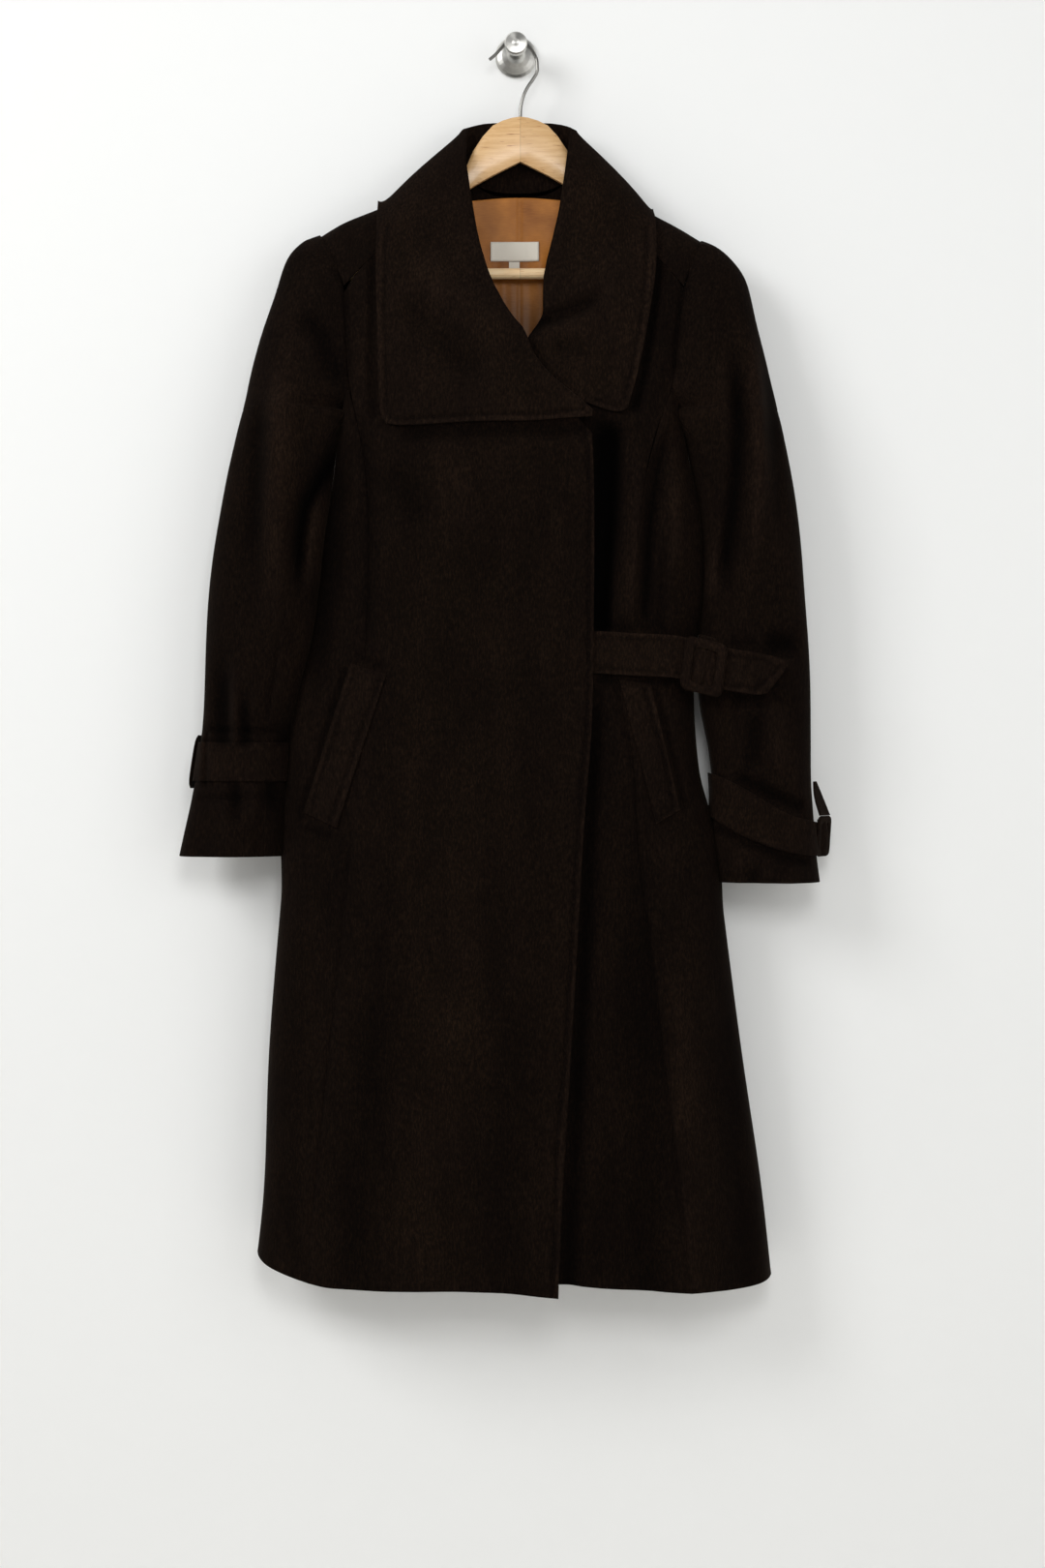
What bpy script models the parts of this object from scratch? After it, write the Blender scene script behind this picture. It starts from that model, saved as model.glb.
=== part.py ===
"""Wool trench coat hanging on a wooden hanger from a steel wall knob.

The coat is cloth with nobody in it: thin walls cut into the panels of the real garment. Right and left are the
wearer's, so the right side is at -X. Tables hold millimetres: x across, d out from the wall (y = -d) and z up,
from the centre of the knob's back face. The mesh is made in metres.
"""

import math

import bmesh
import bpy
import numpy as np

MM = 0.001
WOOL = 2.0  # thickness of the coating
SATIN = 1.0  # thickness of the lining
SEAM = 0.32  # each panel stops this far short of its seam line
LIFT = 0.5  # clear space under a piece that lies on a panel
ROUND = 2.5  # exponent of a body section: 2 is an ellipse, more is squarer
SLEEVE_ROUND = 2.2
HEM_NOMINAL = -1250.0
HEM_FADE = 330.0  # height over which the hem's own line dies out upwards
ARMPIT = -392.0  # lowest point of each armhole, at the side
ARMHOLE_RISE = 35.0  # from there to where the armhole turns up the front and the back
ARMHOLE_FADE = -480.0  # rows above this height bend to meet the armhole
TOP_ROW = -375.0  # nominal height of the row that meets the armhole's lower curve
SIDE_CLEAR = 3.3  # between the middle of the body's side and the middle of the sleeve's inner wall
SHOULDER_COLUMNS = 7
NECK_COLUMNS = 8

# Heights of the rows of every panel, hem first, so that seams share their points.
ROWS = [-1250, -1195, -1140, -1080, -1020, -960, -900, -845, -795, -745, -700, -655, -610, -565, -520, -480,
        -440,
        -405, -375, -345, -315, -285, -258, -235, -214, -196, -180, -166, -152, -146]

# Sections of the body: height, the two outlines seen from the front, and how far the front, side and back
# stand out.
BODY_COLUMNS = ("z", "right", "left", "front", "side", "back")
BODY = [
    (-1250, -264, 258, 126, 46, 10),
    (-1150, -253, 247, 125, 48, 10),
    (-1040, -250, 230, 123, 50, 10),
    (-920, -241, 214, 121, 52, 10),
    (-820, -232, 201, 118, 54, 10),
    (-740, -227, 184, 114, 54, 10),
    (-650, -213, 178, 108, 54, 10),
    (-590, -197, 182, 106, 54, 10),
    (-520, -190, 189, 108, 54, 10),
    (-450, -183, 178, 110, 54, 11),
    (-385, -177, 167, 108, 54, 13),
    (-320, -192, 182, 99, 50, 14),
    (-260, -205, 196, 87, 44, 15),
    (-215, -206, 198, 75, 39, 16),
    (-200, -203, 190, 70, 37, 16),
    (-190, -196, 173, 67, 36, 17),
    (-172, -154, 139, 62, 35, 17),
    (-150, -100, 98, 57, 34, 17),
    (-136, -79, 84, 53, 34, 18),
    (-118, -62, 69, 49, 34, 19),
]

# Right princess seam, then the armhole and the forward shoulder seam: the side edge of the right centre
# panel.
RIGHT_CENTRE_SIDE = [
    (-1250, -205), (-1185, -202), (-1111, -194), (-1029, -186), (-918, -172), (-792, -160), (-719, -153),
    (-599, -148), (-521, -145), (-466, -146), (-440, -148), (-405, -153.5), (-375, -161), (-357, -166.5),
    (-323, -169), (-282, -170), (-250, -173), (-146, -66),
]
LEFT_CENTRE_SIDE = [
    (-1250, 173), (-1176, 167), (-1075, 154), (-997, 144), (-928, 138), (-880, 130), (-813, 119), (-739, 119),
    (-706, 115), (-672, 104), (-648, 98), (-607, 107), (-549, 119), (-482, 124), (-441, 129), (-409, 136),
    (-362, 154), (-346, 159), (-309, 161), (-282, 165), (-250, 169), (-146, 68),
]
# Front edge of the right front, then its neck edge, which the collar's roll covers.
RIGHT_CENTRE_EDGE = [
    (-1254, 42), (-1173, 45), (-1025, 54), (-874, 63), (-798, 67), (-695, 76), (-551, 78), (-456, 78), (-387,
                                                                                                        75),
    (-377, 54), (-353, 25), (-332, 8), (-308, -1), (-283, -20), (-252, -35), (-212, -47), (-168, -56), (-146,
                                                                                                        -59),
]
# Hidden front edge of the left front, then its neck edge.
LEFT_CENTRE_EDGE = [
    (-1254, -28), (-1025, -18), (-798, -6), (-551, 4), (-370, 8), (-330, 24), (-292, 36), (-252, 36), (-226,
                                                                                                       40),
    (-189, 50), (-153, 58), (-146, 61),
]
# Armholes on the front and on the back, from the shoulder point down.
RIGHT_ARMHOLE_FRONT = [(-357, -166.5), (-323, -169), (-282, -170), (-250, -173), (-235, -178), (-214, -187),
                       (-193, -199)]
LEFT_ARMHOLE_FRONT = [(-357, 155.6), (-346, 159), (-309, 161), (-282, 165), (-250, 169), (-235, 174),
                      (-214, 182), (-199, 188)]
RIGHT_ARMHOLE_BACK = [(-375, -172), (-345, -169), (-300, -170), (-258, -174), (-235, -180), (-193, -199)]
LEFT_ARMHOLE_BACK = [(-375, 161), (-345, 159), (-300, 161), (-258, 167), (-235, 173), (-199, 188)]
# Hem of each front: x, height.
RIGHT_HEM = [(-264, -1224), (-252, -1231), (-216, -1242), (-187, -1247), (-60, -1248), (0, -1249),
             (43, -1254)]
LEFT_HEM = [(-30, -1240), (44, -1241), (82, -1246), (149, -1250), (230, -1252), (258, -1247)]
BACK_HEM = [(-264, -1224), (-200, -1238), (0, -1242), (200, -1246), (258, -1247)]

# Folds of the body: a line from its top to its foot, its half width, and its height out of the cloth.
FOLD_COLUMNS = ("top_x", "top_z", "foot_x", "foot_z", "width", "height")
FRONT_FOLDS = [
    (148, -395, 132, -590, 12, -7),  # deep fold beside the left armhole
    (160, -400, 152, -560, 9, 5),
    (128, -440, 112, -600, 12, 4),
    (136, -520, 139, -598, 7, -4),
    (-150, -380, -138, -520, 14, -4),
    (-120, -820, -150, -1330, 34, 5),
    (-40, -900, -66, -1330, 40, -4),
    (20, -840, 14, -1330, 26, 4),
    (150, -900, 176, -1330, 22, 6),
    (120, -860, 128, -1330, 24, -5),
    (206, -930, 234, -1330, 20, -5),
    (-205, -900, -226, -1330, 22, -5),
]
BACK_FOLDS = [
    (-120, -560, -150, -1330, 40, 3),
    (-40, -620, -50, -1330, 44, -3),
    (60, -600, 70, -1330, 42, 3),
    (140, -640, 168, -1330, 36, -3),
]
# How far the left front lies behind the right one along the lap.
LAP_STEP = [(-1250, 7), (-900, 7), (-700, 8), (-560, 9), (-430, 13), (-330, 13), (-250, 6), (-146, 2)]
LAP_NEAR = 84.0  # full step for x up to here
LAP_FAR = 150.0  # no step beyond

# Sleeves: height, outline away from the body, outline towards it, front, side and back.
SLEEVE_COLUMNS = ("z", "outer", "inner", "front", "side", "back")
RIGHT_SLEEVE = [
    (-823, -339, -233, 98, 56, 14),
    (-795, -333, -232, 96, 56, 13),
    (-770, -327, -231, 94, 56, 12),
    (-748, -323, -231, 92, 56, 12),
    (-728, -320, -231, 91, 56, 12),
    (-709, -317, -230, 92, 56, 12),
    (-682, -314, -225, 96, 57, 12),
    (-655, -313, -218, 98, 57, 12),
    (-610, -312, -206, 99, 57, 12),
    (-565, -310, -199, 100, 57, 12),
    (-520, -305, -195, 101, 57, 12),
    (-480, -298, -190, 101, 56, 12),
    (-440, -291, -185, 100, 55, 12),
    (-405, -283, -180, 98, 54, 12),
    (-377, -276.5, -161, 96, 53, 13),
    (-375, -276, -160, 96, 53, 13),
    (-366, -274, -155, 95, 52, 13),
    (-357, -272, -152, 94, 52, 13),
    (-345, -270, -150, 93, 51, 13),
    (-315, -263, -148, 89, 49, 13),
    (-285, -254, -148, 84, 47, 14),
    (-258, -244, -152, 78, 45, 14),
    (-235, -238, -160, 71, 42, 15),
    (-214, -231, -170, 63, 39, 16),
    (-200, -216, -184, 53, 37, 18),
]
LEFT_SLEEVE = [
    (-849, 306, 204, 100, 56, 14),
    (-825, 303, 203, 99, 56, 13),
    (-800, 301, 202, 97, 56, 12),
    (-775, 299, 202, 95, 56, 12),
    (-750, 297, 201, 94, 56, 12),
    (-725, 297, 200, 93, 56, 12),
    (-700, 297, 199, 94, 56, 12),
    (-655, 297, 180, 96, 57, 12),
    (-610, 295, 183, 96, 57, 12),
    (-565, 291, 184, 97, 57, 12),
    (-520, 288, 188, 99, 57, 12),
    (-480, 284, 184, 100, 56, 12),
    (-440, 278, 178, 99, 55, 12),
    (-405, 271, 172, 98, 54, 12),
    (-377, 265.4, 153, 96, 53, 13),
    (-375, 265, 152, 96, 53, 13),
    (-366, 263, 147, 95, 52, 13),
    (-357, 261, 144, 94, 52, 13),
    (-345, 258, 142, 93, 51, 13),
    (-315, 251, 141, 89, 49, 13),
    (-285, 243, 142, 84, 47, 14),
    (-258, 238, 147, 78, 45, 14),
    (-235, 232, 156, 71, 42, 15),
    (-214, 214, 168, 61, 39, 17),
    (-206, 203, 178, 53, 38, 19),
]
# Front seam of each two-piece sleeve.
RIGHT_SLEEVE_SEAM = [
    (-823, -251), (-760, -250), (-687, -247), (-658, -243), (-605, -234), (-563, -224), (-530, -220), (-491,
                                                                                                       -215),
    (-466, -209), (-440, -200), (-405, -188), (-377, -176.2),
]
LEFT_SLEEVE_SEAM = [
    (-849, 226), (-760, 222), (-687, 220), (-605, 214), (-530, 213), (-466, 203), (-440, 194), (-405,
                                                                                                179), (-377,
                                                                                                       165.2),
]
BACK_SEAM_SHARE = 0.36  # back sleeve seam, as a share of the width from the inner side
RIGHT_SLEEVE_FOLDS = [
    (-232, -330, -240, -560, 13, 6),
    (-205, -430, -221, -580, 9, -6),
    (-262, -380, -276, -600, 18, -4),
    (-285, -640, -290, -706, 9, -5),
    (-262, -600, -272, -706, 10, 4),
    (-244, -640, -240, -706, 8, -4),
    (-300, -755, -318, -860, 11, -6),
    (-275, -755, -280, -860, 12, 5),
    (-250, -755, -246, -860, 9, -4),
]
LEFT_SLEEVE_FOLDS = [
    (217, -330, 209, -590, 9, -8),
    (238, -290, 240, -560, 15, 6),
    (262, -420, 268, -640, 16, -3),
    (228, -600, 236, -720, 13, 4),
    (262, -640, 262, -730, 10, -4),
    (218, -660, 222, -740, 8, -4),
    (240, -800, 236, -880, 12, -4),
    (270, -810, 276, -880, 12, 4),
]

# Collar: for each station from the right front end round the neck to the left front end, where its neck seam,
# its roll and its free edge lie, and how far the roll's fold stands apart.
COLLAR_COLUMNS = ("neck_x", "neck_d", "neck_z", "roll_x", "roll_d", "roll_z", "edge_x", "edge_d", "edge_z",
                  "fold")
COLLAR = [
    (72, 0, -381, 76, 0, -382, 76, 0, -388, 2.6),
    (56, 0, -373, 62, 0, -370, 48, 0, -390, 2.6),
    (40, 0, -362, 47, 0, -358, 14, 0, -393, 2.6),
    (26, 0, -350, 33, 0, -346, -20, 0, -393, 2.6),
    (11, 0, -330, 18, 0, -326, -58, 0, -394, 2.6),
    (1, 0, -305, 9, 0, -302, -98, 0, -396.5, 2.6),
    (-9, 0, -293, -1, 0, -290, -119, 0, -396, 2.7),
    (-18, 0, -280, -10, 0, -277, -131, 0, -392, 2.8),
    (-25, 0, -267, -17, 0, -264, -135, 0, -376, 2.9),
    (-33, 0, -251, -25, 0, -248, -136.5, 0, -348, 3.0),
    (-45, 0, -212, -37, 0, -209, -138, 0, -290, 3.4),
    (-53, 58, -168, -45, 66, -166, -140, 0, -232, 4.0),
    (-57, 47, -138, -52, 56, -122, -140, 60, -186, 4.5),
    (-58, 33, -112, -52, 35, -86, -139, 34, -161, 5.0),
    (-51, 22, -127, -42, 26, -79, -122, 10, -184, 5.0),
    (-36, 21, -141, -28, 24, -76, -84, 8, -198, 5.0),
    (-12, 20, -146, -12, 22, -75, -32, 7, -206, 5.0),
    (18, 20, -146, 18, 22, -75, 32, 7, -206, 5.0),
    (43, 21, -139.5, 36, 24, -76, 86, 8, -198, 5.0),
    (60, 22, -125.5, 50, 26, -79, 124, 10, -186, 5.0),
    (65, 33, -112, 57, 36, -85, 139, 34, -166, 5.0),
    (62, 47, -138, 53, 56, -120, 141, 60, -192, 4.5),
    (55, 56, -160, 48, 65, -153, 141, 0, -230, 4.0),
    (47, 0, -189, 41, 0, -189, 134.5, 0, -273, 3.4),
    (38, 0, -226, 32, 0, -226, 127.5, 0, -314, 3.0),
    (34, 0, -254, 28, 0, -252, 119.5, 0, -348, 2.8),
    (34, 0, -272, 28, 0, -271, 114.5, 0, -366, 2.7),
    (34, 0, -290, 28, 0, -290, 109, 0, -380, 2.6),
    (29, 0, -310, 22, 0, -307, 97, 0, -381.5, 2.6),
    (22, 0, -328, 16, 0, -322, 77, 0, -374.5, 2.6),
    (13, 0, -348, 8, 0, -344, 44, 0, -364, 2.6),
]
COLLAR_CLEAR = 4.6  # between the middles of the collar's fall and of the front under it
COLLAR_SEAM_CLEAR = 1.7  # between the middles of the neck edge and of the collar's seam edge
FIRST_SHOULDER_STATION = 11
LAST_SHOULDER_STATION = 22
FALL_ROWS = 6

# Pocket welts: corners at the upper front, upper side, lower side and lower front.
RIGHT_WELT = [(-128, -642), (-164, -631), (-211, -779), (-177, -794)]
LEFT_WELT = [(134, -651), (103, -647), (139, -790), (163, -776)]

BELT_HALF = 21.0
BELT_LINE = [  # x, height of the middle, out from the wall
    (60, -620, 100.0), (85, -620, 99.6), (110, -622, 99.6), (135, -623, 100.6), (155, -624, 102.2), (170,
                                                                                                     -627,
                                                                                                     103.6),
    (188, -632, 104.8), (207, -637, 105.8), (225, -640, 106.8), (240, -642, 107.4),
]
BELT_TIP = (268, -634, 108.4)
BUCKLE_CENTRE = (185.3, 110.3, -635.0)
BUCKLE_SIZE = (42.0, 51.0)
BUCKLE_RIM = 9.5
BUCKLE_THICK = 4.2
BUCKLE_TILT = math.radians(-8)
LOOP_X = (181.0, 199.0)

# Hanger: x, top and underside of the wood; the bar's end is let into the drop at the tip.
HANGER_PLANE = 34.0
HANGER_THICK = 11.0
HANGER_MIDDLE = 4.5
HANGER = [
    (0, -71, -118), (8, -72, -122), (18, -75, -127), (28, -80, -132), (38, -91, -137.5), (48, -106, -143),
    (58, -129, -150), (70, -138, -156), (84, -149, -163), (104, -159, -173), (128, -170, -185), (150, -182,
                                                                                                 -198),
    (163, -194, -209), (163.5, -194.5, -238), (170, -196, -240), (178, -203, -238),
]
HANGER_TOP_CLEAR = 3.0  # between the middle of the shoulder ridge and the wood
BAR_HEIGHT = -231.0
BAR_RADIUS = 5.6
WIRE_RADIUS = 1.7
HOOK = [  # x, z in the hanger's plane, from the hook's tip to the wood
    (-27, -13), (-21, -8), (-12, 2), (-7.5, 6.6), (0, 9.0), (7, 7.2), (12.5, 1.2), (18, -6), (21.5,
                                                                                              -15), (21.8,
                                                                                                     -24),
    (18, -32), (12.5, -40), (8.4, -48), (5.8, -57), (4.7, -64), (4.5, -71.35),
]
KNOB = [  # radius, out from the wall
    (21.5, 0), (21.5, 2.5), (19.5, 5.0), (14.5, 7.6), (9.8, 10.6), (7.2, 15), (6.5, 21), (6.5, 38), (9.5,
                                                                                                     39.6),
    (11.6, 41), (11.6, 46.6), (10.4, 48.2), (4, 48.8),
]
KNOB_SIDES = 24

COLOURS = {
    "wool": ((0.018, 0.011, 0.009), 0.92, 0.0),
    "satin": ((0.30, 0.125, 0.045), 0.38, 0.0),
    "label": ((0.72, 0.68, 0.60), 0.7, 0.0),
    "beech": ((0.62, 0.38, 0.19), 0.42, 0.0),
    "steel": ((0.56, 0.54, 0.51), 0.34, 1.0),
}

ARMHOLE_SEAM = 0.5  # the sleeve's part of the gap at the armhole
RIGHT_CAP_END = (-212.0, -197.5)  # where the top of the sleeve's cap meets its outline
LEFT_CAP_END = (198.0, -202.5)
COLLAR_STATIONS = 46
NECK_SIDE = (-60.5, 67.0)  # where the shoulder ridges meet the neck edge
NECK_BACK = -150.0
NECK_POINT = -117.5
RIGHT_SHOULDER_SEAM = ((-172.8, -249.2), (-66, -145.2))
LEFT_SHOULDER_SEAM = ((168.8, -249.2), (68, -145.2))
UNDER_TOP = -378.4  # the under sleeve's top edge beyond the armhole's lower curve
LEFT_STRAP_EDGES = [(196, -736, -778), (221, -750, -799), (250, -769, -813), (268, -782, -820),
                    (300, -790, -823)]
CUFF_ROWS = 9
KEEPER_RIGHT = (11, 14)  # columns of the right strap's keeper
SLIDER_CENTRE = (310.4, 56.0, -803.0)
SLIDER_SIZE = (34.0, 41.0)
# height, x, half width
CUFF_END = [(-782.1, 311.6, 13), (-768, 306.5, 12), (-757, 303.5, 8), (-748, 301.5, 2.5)]


def track(rows, column=1):
    """A smooth function through a table's rows, from the first column to the given one."""
    table = np.array(sorted(rows, key=lambda row: row[0]), float)
    keys = table[:, 0]
    values = table[:, column]
    steps = np.diff(keys)
    slopes = np.diff(values) / steps
    tangents = np.zeros(len(keys))
    tangents[0] = slopes[0]
    tangents[-1] = slopes[-1]
    for i in range(1, len(keys) - 1):
        before, after = slopes[i - 1], slopes[i]
        if before * after > 0:
            tangents[i] = 2 * before * after / (before + after)

    def at(key):
        key = np.clip(np.asarray(key, float), keys[0], keys[-1])
        i = np.clip(np.searchsorted(keys, key) - 1, 0, len(steps) - 1)
        t = (key - keys[i]) / steps[i]
        near = values[i] * (1 + 2 * t) * (1 - t) ** 2 + tangents[i] * steps[i] * t * (1 - t) ** 2
        far = values[i + 1] * t * t * (3 - 2 * t) - tangents[i + 1] * steps[i] * t * t * (1 - t)
        return near + far

    return at


def straight(rows):
    """A function through a table's rows with straight runs between them."""
    table = np.array(sorted(rows, key=lambda row: row[0]), float)
    return lambda key: np.interp(key, table[:, 0], table[:, 1])


def ease(t):
    """0 below 0, 1 above 1 and smooth between."""
    t = np.clip(t, 0.0, 1.0)
    return t * t * (3 - 2 * t)


def fold_height(folds, x, z):
    """How far the folds lift the cloth at x, z."""
    total = np.zeros(np.broadcast(x, z).shape)
    for top_x, top_z, foot_x, foot_z, width, height in folds:
        share = (top_z - z) / (top_z - foot_z)
        line = top_x + (foot_x - top_x) * share
        ends = ease(share / 0.25) * ease((1 - share) / 0.2)
        total = total + height * ends * np.exp(-(((x - line) / width) ** 2))
    return total


def outward(grid, distance):
    """A grid's points moved along its normals, for a piece made from the points of the one it lies on."""
    grid = np.asarray(grid, float)
    normal = np.cross(np.gradient(grid, axis=1), np.gradient(grid, axis=0))
    size = np.linalg.norm(normal, axis=-1, keepdims=True)
    return grid + distance * normal / size


class Tube:
    """A closed garment tube, as flattened sections stacked in height: outlines, front, side and back."""

    def __init__(self, rows, outlines, power, front_folds, back_folds):
        self.low = track(rows, outlines[0])
        self.high = track(rows, outlines[1])
        self.front = track(rows, 3)
        self.side = track(rows, 4)
        self.back = track(rows, 5)
        self.power = power
        self.front_folds = front_folds
        self.back_folds = back_folds

    def keep_beside(self, body):
        """Moves the inner outline of a sleeve clear of the body's side below the armpit."""
        def free(z):
            return 0.041 * np.maximum(z - ARMPIT, 0.0) ** 2 - SIDE_CLEAR

        if self.low(TOP_ROW) < 0:
            inner = self.high
            self.high = lambda z: np.minimum(inner(z), body.low(z) + free(z))
        else:
            inner = self.low
            self.low = lambda z: np.maximum(inner(z), body.high(z) - free(z))

    def centre(self, z):
        return (self.low(z) + self.high(z)) / 2

    def half(self, z):
        return (self.high(z) - self.low(z)) / 2

    def angle(self, x, z):
        """The section angle whose front point is at x: 0 at the low side, pi at the high side."""
        t = np.clip((self.centre(z) - x) / self.half(z), -1, 1)
        return np.arccos(np.sign(t) * np.abs(t) ** (self.power / 2))

    def points(self, angle, z):
        """Points at section angles on height z: 0 to pi along the front, 0 to -pi along the back."""
        angle = np.asarray(angle, float)
        z = np.broadcast_to(np.asarray(z, float), angle.shape)
        c, s = np.cos(angle), np.sin(angle)
        reach = np.abs(s) ** (2 / self.power)
        x = self.centre(z) - self.half(z) * np.sign(c) * np.abs(c) ** (2 / self.power)
        ahead = (self.front(z) - self.side(z)) * reach
        behind = (self.side(z) - self.back(z)) * reach
        face = ease(reach * 1.6 - 0.5)
        folds = np.where(s >= 0, fold_height(self.front_folds, x, z),
                         -fold_height(self.back_folds, x, z)) * face
        d = np.where(s >= 0, self.side(z) + ahead, self.side(z) - behind) + folds
        return np.stack([x, d, z], axis=-1)

    def front_at(self, x, z):
        return self.points(self.angle(x, z), z)[..., 1]

    def back_at(self, x, z):
        return self.points(-self.angle(x, z), z)[..., 1]

    def arc(self, start, end, z, count):
        """Evenly spaced points along the section from one angle to another."""
        dense = self.points(np.linspace(start, end, 160), z)
        steps = np.hypot(np.diff(dense[:, 0]), np.diff(dense[:, 1]))
        length = np.concatenate([[0], np.cumsum(steps)])
        even = np.linspace(0, length[-1], count)
        return np.stack([np.interp(even, length, dense[:, k]) for k in range(3)], axis=-1)

    def ruled(self, start, end, heights):
        """A row whose points lie at their own heights, between two seams that are functions of height."""
        return np.array([self.arc(start(z), end(z), z, len(heights))[i] for i, z in enumerate(heights)])


def arm_x(tube, depth, z, low_side):
    """x on a tube's section at a depth, on its low or its high side."""
    side = tube.side(z)
    deep = tube.front(z) - side if depth > side else side - tube.back(z)
    across = math.sqrt(max(0.0, 1 - (abs(depth - side) / deep) ** tube.power)) ** (2 / tube.power)
    return tube.centre(z) + tube.half(z) * (-across if low_side else across)


class Armhole:
    """One armhole: the front's and the back's edge at each height, down to the armpit."""

    def __init__(self, body, front_rows, back_rows):
        self.body = body
        self.low_side = front_rows[-1][1] < 0
        self.front_line, self.back_line = straight(front_rows), straight(back_rows)
        self.front_top, self.back_top = front_rows[0][0], back_rows[0][0]
        self.side = float(body.side(TOP_ROW))
        self.front_end = float(body.front_at(front_rows[0][1], self.front_top))
        self.back_end = float(body.back_at(back_rows[0][1], self.back_top))
        self.tip = (back_rows[-1][1], back_rows[-1][0])

    def front_x(self, z):
        if z >= self.front_top:
            return float(self.front_line(z))
        share = math.sqrt(max(0.0, (z - ARMPIT) / (self.front_top - ARMPIT)))
        return float(arm_x(self.body, self.side + (self.front_end - self.side) * share, z, self.low_side))

    def back_x(self, z):
        if z >= self.back_top:
            return float(self.back_line(z))
        share = math.sqrt(max(0.0, (z - ARMPIT) / (self.back_top - ARMPIT)))
        return float(arm_x(self.body, self.side + (self.back_end - self.side) * share, z, self.low_side))

    def height(self, depth):
        """Height of the lower curve at a depth."""
        ahead = np.clip((depth - self.side) / (self.front_end - self.side), 0, 1)
        behind = np.clip((depth - self.side) / (self.back_end - self.side), 0, 1)
        return ARMPIT + (self.front_top - ARMPIT) * ahead ** 2 + (self.back_top - ARMPIT) * behind ** 2

    def bend(self, depths, nominal, top, limit=0.0):
        """Heights of a row's points, which bend towards the lower curve the nearer the row is to it."""
        share = ease((nominal - ARMHOLE_FADE) / (top - ARMHOLE_FADE))
        return nominal + (np.minimum(self.height(depths), limit) - top) * share


def material(name, finish):
    colour, roughness, metallic = COLOURS[finish]
    made = bpy.data.materials.new(name + "_" + finish)
    made.use_nodes = True
    shader = made.node_tree.nodes["Principled BSDF"]
    shader.inputs["Base Color"].default_value = (*colour, 1)
    shader.inputs["Roughness"].default_value = roughness
    shader.inputs["Metallic"].default_value = metallic
    return made


def add_object(name, mesh_data, finish, smooth_angle=50):
    """Turns a bmesh into a named object with its own material."""
    mesh = bpy.data.meshes.new(name)
    mesh_data.to_mesh(mesh)
    mesh_data.free()
    mesh.shade_smooth()
    mesh.set_sharp_from_angle(angle=math.radians(smooth_angle))
    made = bpy.data.objects.new(name, mesh)
    made.data.materials.append(material(name, finish))
    bpy.context.scene.collection.objects.link(made)
    return made


def cloth(name, grids, thick=WOOL, finish="wool", closed=False):
    """A sewn piece: one or more grids of points joined into a sheet, with its thickness half to each side."""
    sheet = bmesh.new()
    for grid in grids:
        grid = np.asarray(grid, float)
        made = [[sheet.verts.new((x * MM, -d * MM, z * MM)) for x, d, z in row] for row in grid]
        across = len(made[0]) if closed else len(made[0]) - 1
        for below, above in zip(made, made[1:]):
            for i in range(across):
                j = (i + 1) % len(below)
                sheet.faces.new((below[i], below[j], above[j], above[i]))
    bmesh.ops.remove_doubles(sheet, verts=sheet.verts, dist=0.05 * MM)
    bmesh.ops.recalc_face_normals(sheet, faces=sheet.faces)
    made = add_object(name, sheet, finish)
    wall = made.modifiers.new("wall", "SOLIDIFY")
    wall.thickness = thick * MM
    wall.offset = 0
    return made


def solid(name, sections, finish, smooth_angle=50):
    """A closed solid through rings of points, with flat ends."""
    body = bmesh.new()
    rings = [[body.verts.new((x * MM, -d * MM, z * MM)) for x, d, z in ring] for ring in sections]
    for first, second in zip(rings, rings[1:]):
        for i in range(len(first)):
            j = (i + 1) % len(first)
            body.faces.new((first[i], first[j], second[j], second[i]))
    body.faces.new(rings[0])
    body.faces.new(rings[-1])
    bmesh.ops.recalc_face_normals(body, faces=body.faces)
    return add_object(name, body, finish, smooth_angle)


def rounded_loop(width, height, corner, steps=4):
    """Points of a rectangle with round corners."""
    points = []
    for quarter, (sx, sz) in enumerate(((1, 1), (-1, 1), (-1, -1), (1, -1))):
        for step in range(steps):
            turn = math.pi / 2 * (quarter + step / (steps - 1))
            points.append((
                sx * (width / 2 - corner) + corner * math.cos(turn),
                sz * (height / 2 - corner) + corner * math.sin(turn),
            ))
    return points


def frame_loop(name, centre, across, up, size, corners, rim, thick):
    """A flat frame with round corners, in the plane of two directions: the buckle and the slider."""
    across, up, centre = np.array(across, float), np.array(up, float), np.array(centre, float)
    out = np.cross(across, up)
    outer = rounded_loop(size[0], size[1], corners)
    inner = rounded_loop(size[0] - 2 * rim, size[1] - 2 * rim, 2.5)
    body = bmesh.new()
    rings = []
    for (ax, az), (bx, bz) in zip(outer, inner):
        ring = []
        for turn in np.linspace(0, 2 * math.pi, 11)[:-1]:
            share = 0.5 + 0.5 * math.cos(turn)
            spot = centre + across * (ax + (bx - ax) * share) + up * (az + (bz - az) * share)
            x, d, z = spot + out * (thick / 2 * math.sin(turn))
            ring.append(body.verts.new((x * MM, -d * MM, z * MM)))
        rings.append(ring)
    for first, second in zip(rings, rings[1:] + rings[:1]):
        for i in range(len(first)):
            j = (i + 1) % len(first)
            body.faces.new((first[i], first[j], second[j], second[i]))
    bmesh.ops.recalc_face_normals(body, faces=body.faces)
    return add_object(name, body, "wool")


def rows_between(low, high):
    return [z for z in ROWS if low <= z <= high]


def step_behind(row):
    """Lays the left front behind the right one where they lap."""
    row = row.copy()
    row[:, 1] -= track(LAP_STEP)(row[:, 2]) * ease((LAP_FAR - row[:, 0]) / (LAP_FAR - LAP_NEAR))
    return row


def hem_heights(xs, nominal, hem):
    """Heights of a row's points, so that the lowest rows follow the hem's own line."""
    share = 1 - ease((nominal - HEM_NOMINAL) / HEM_FADE)
    return nominal + (straight(hem)(xs) - HEM_NOMINAL) * share


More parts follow.
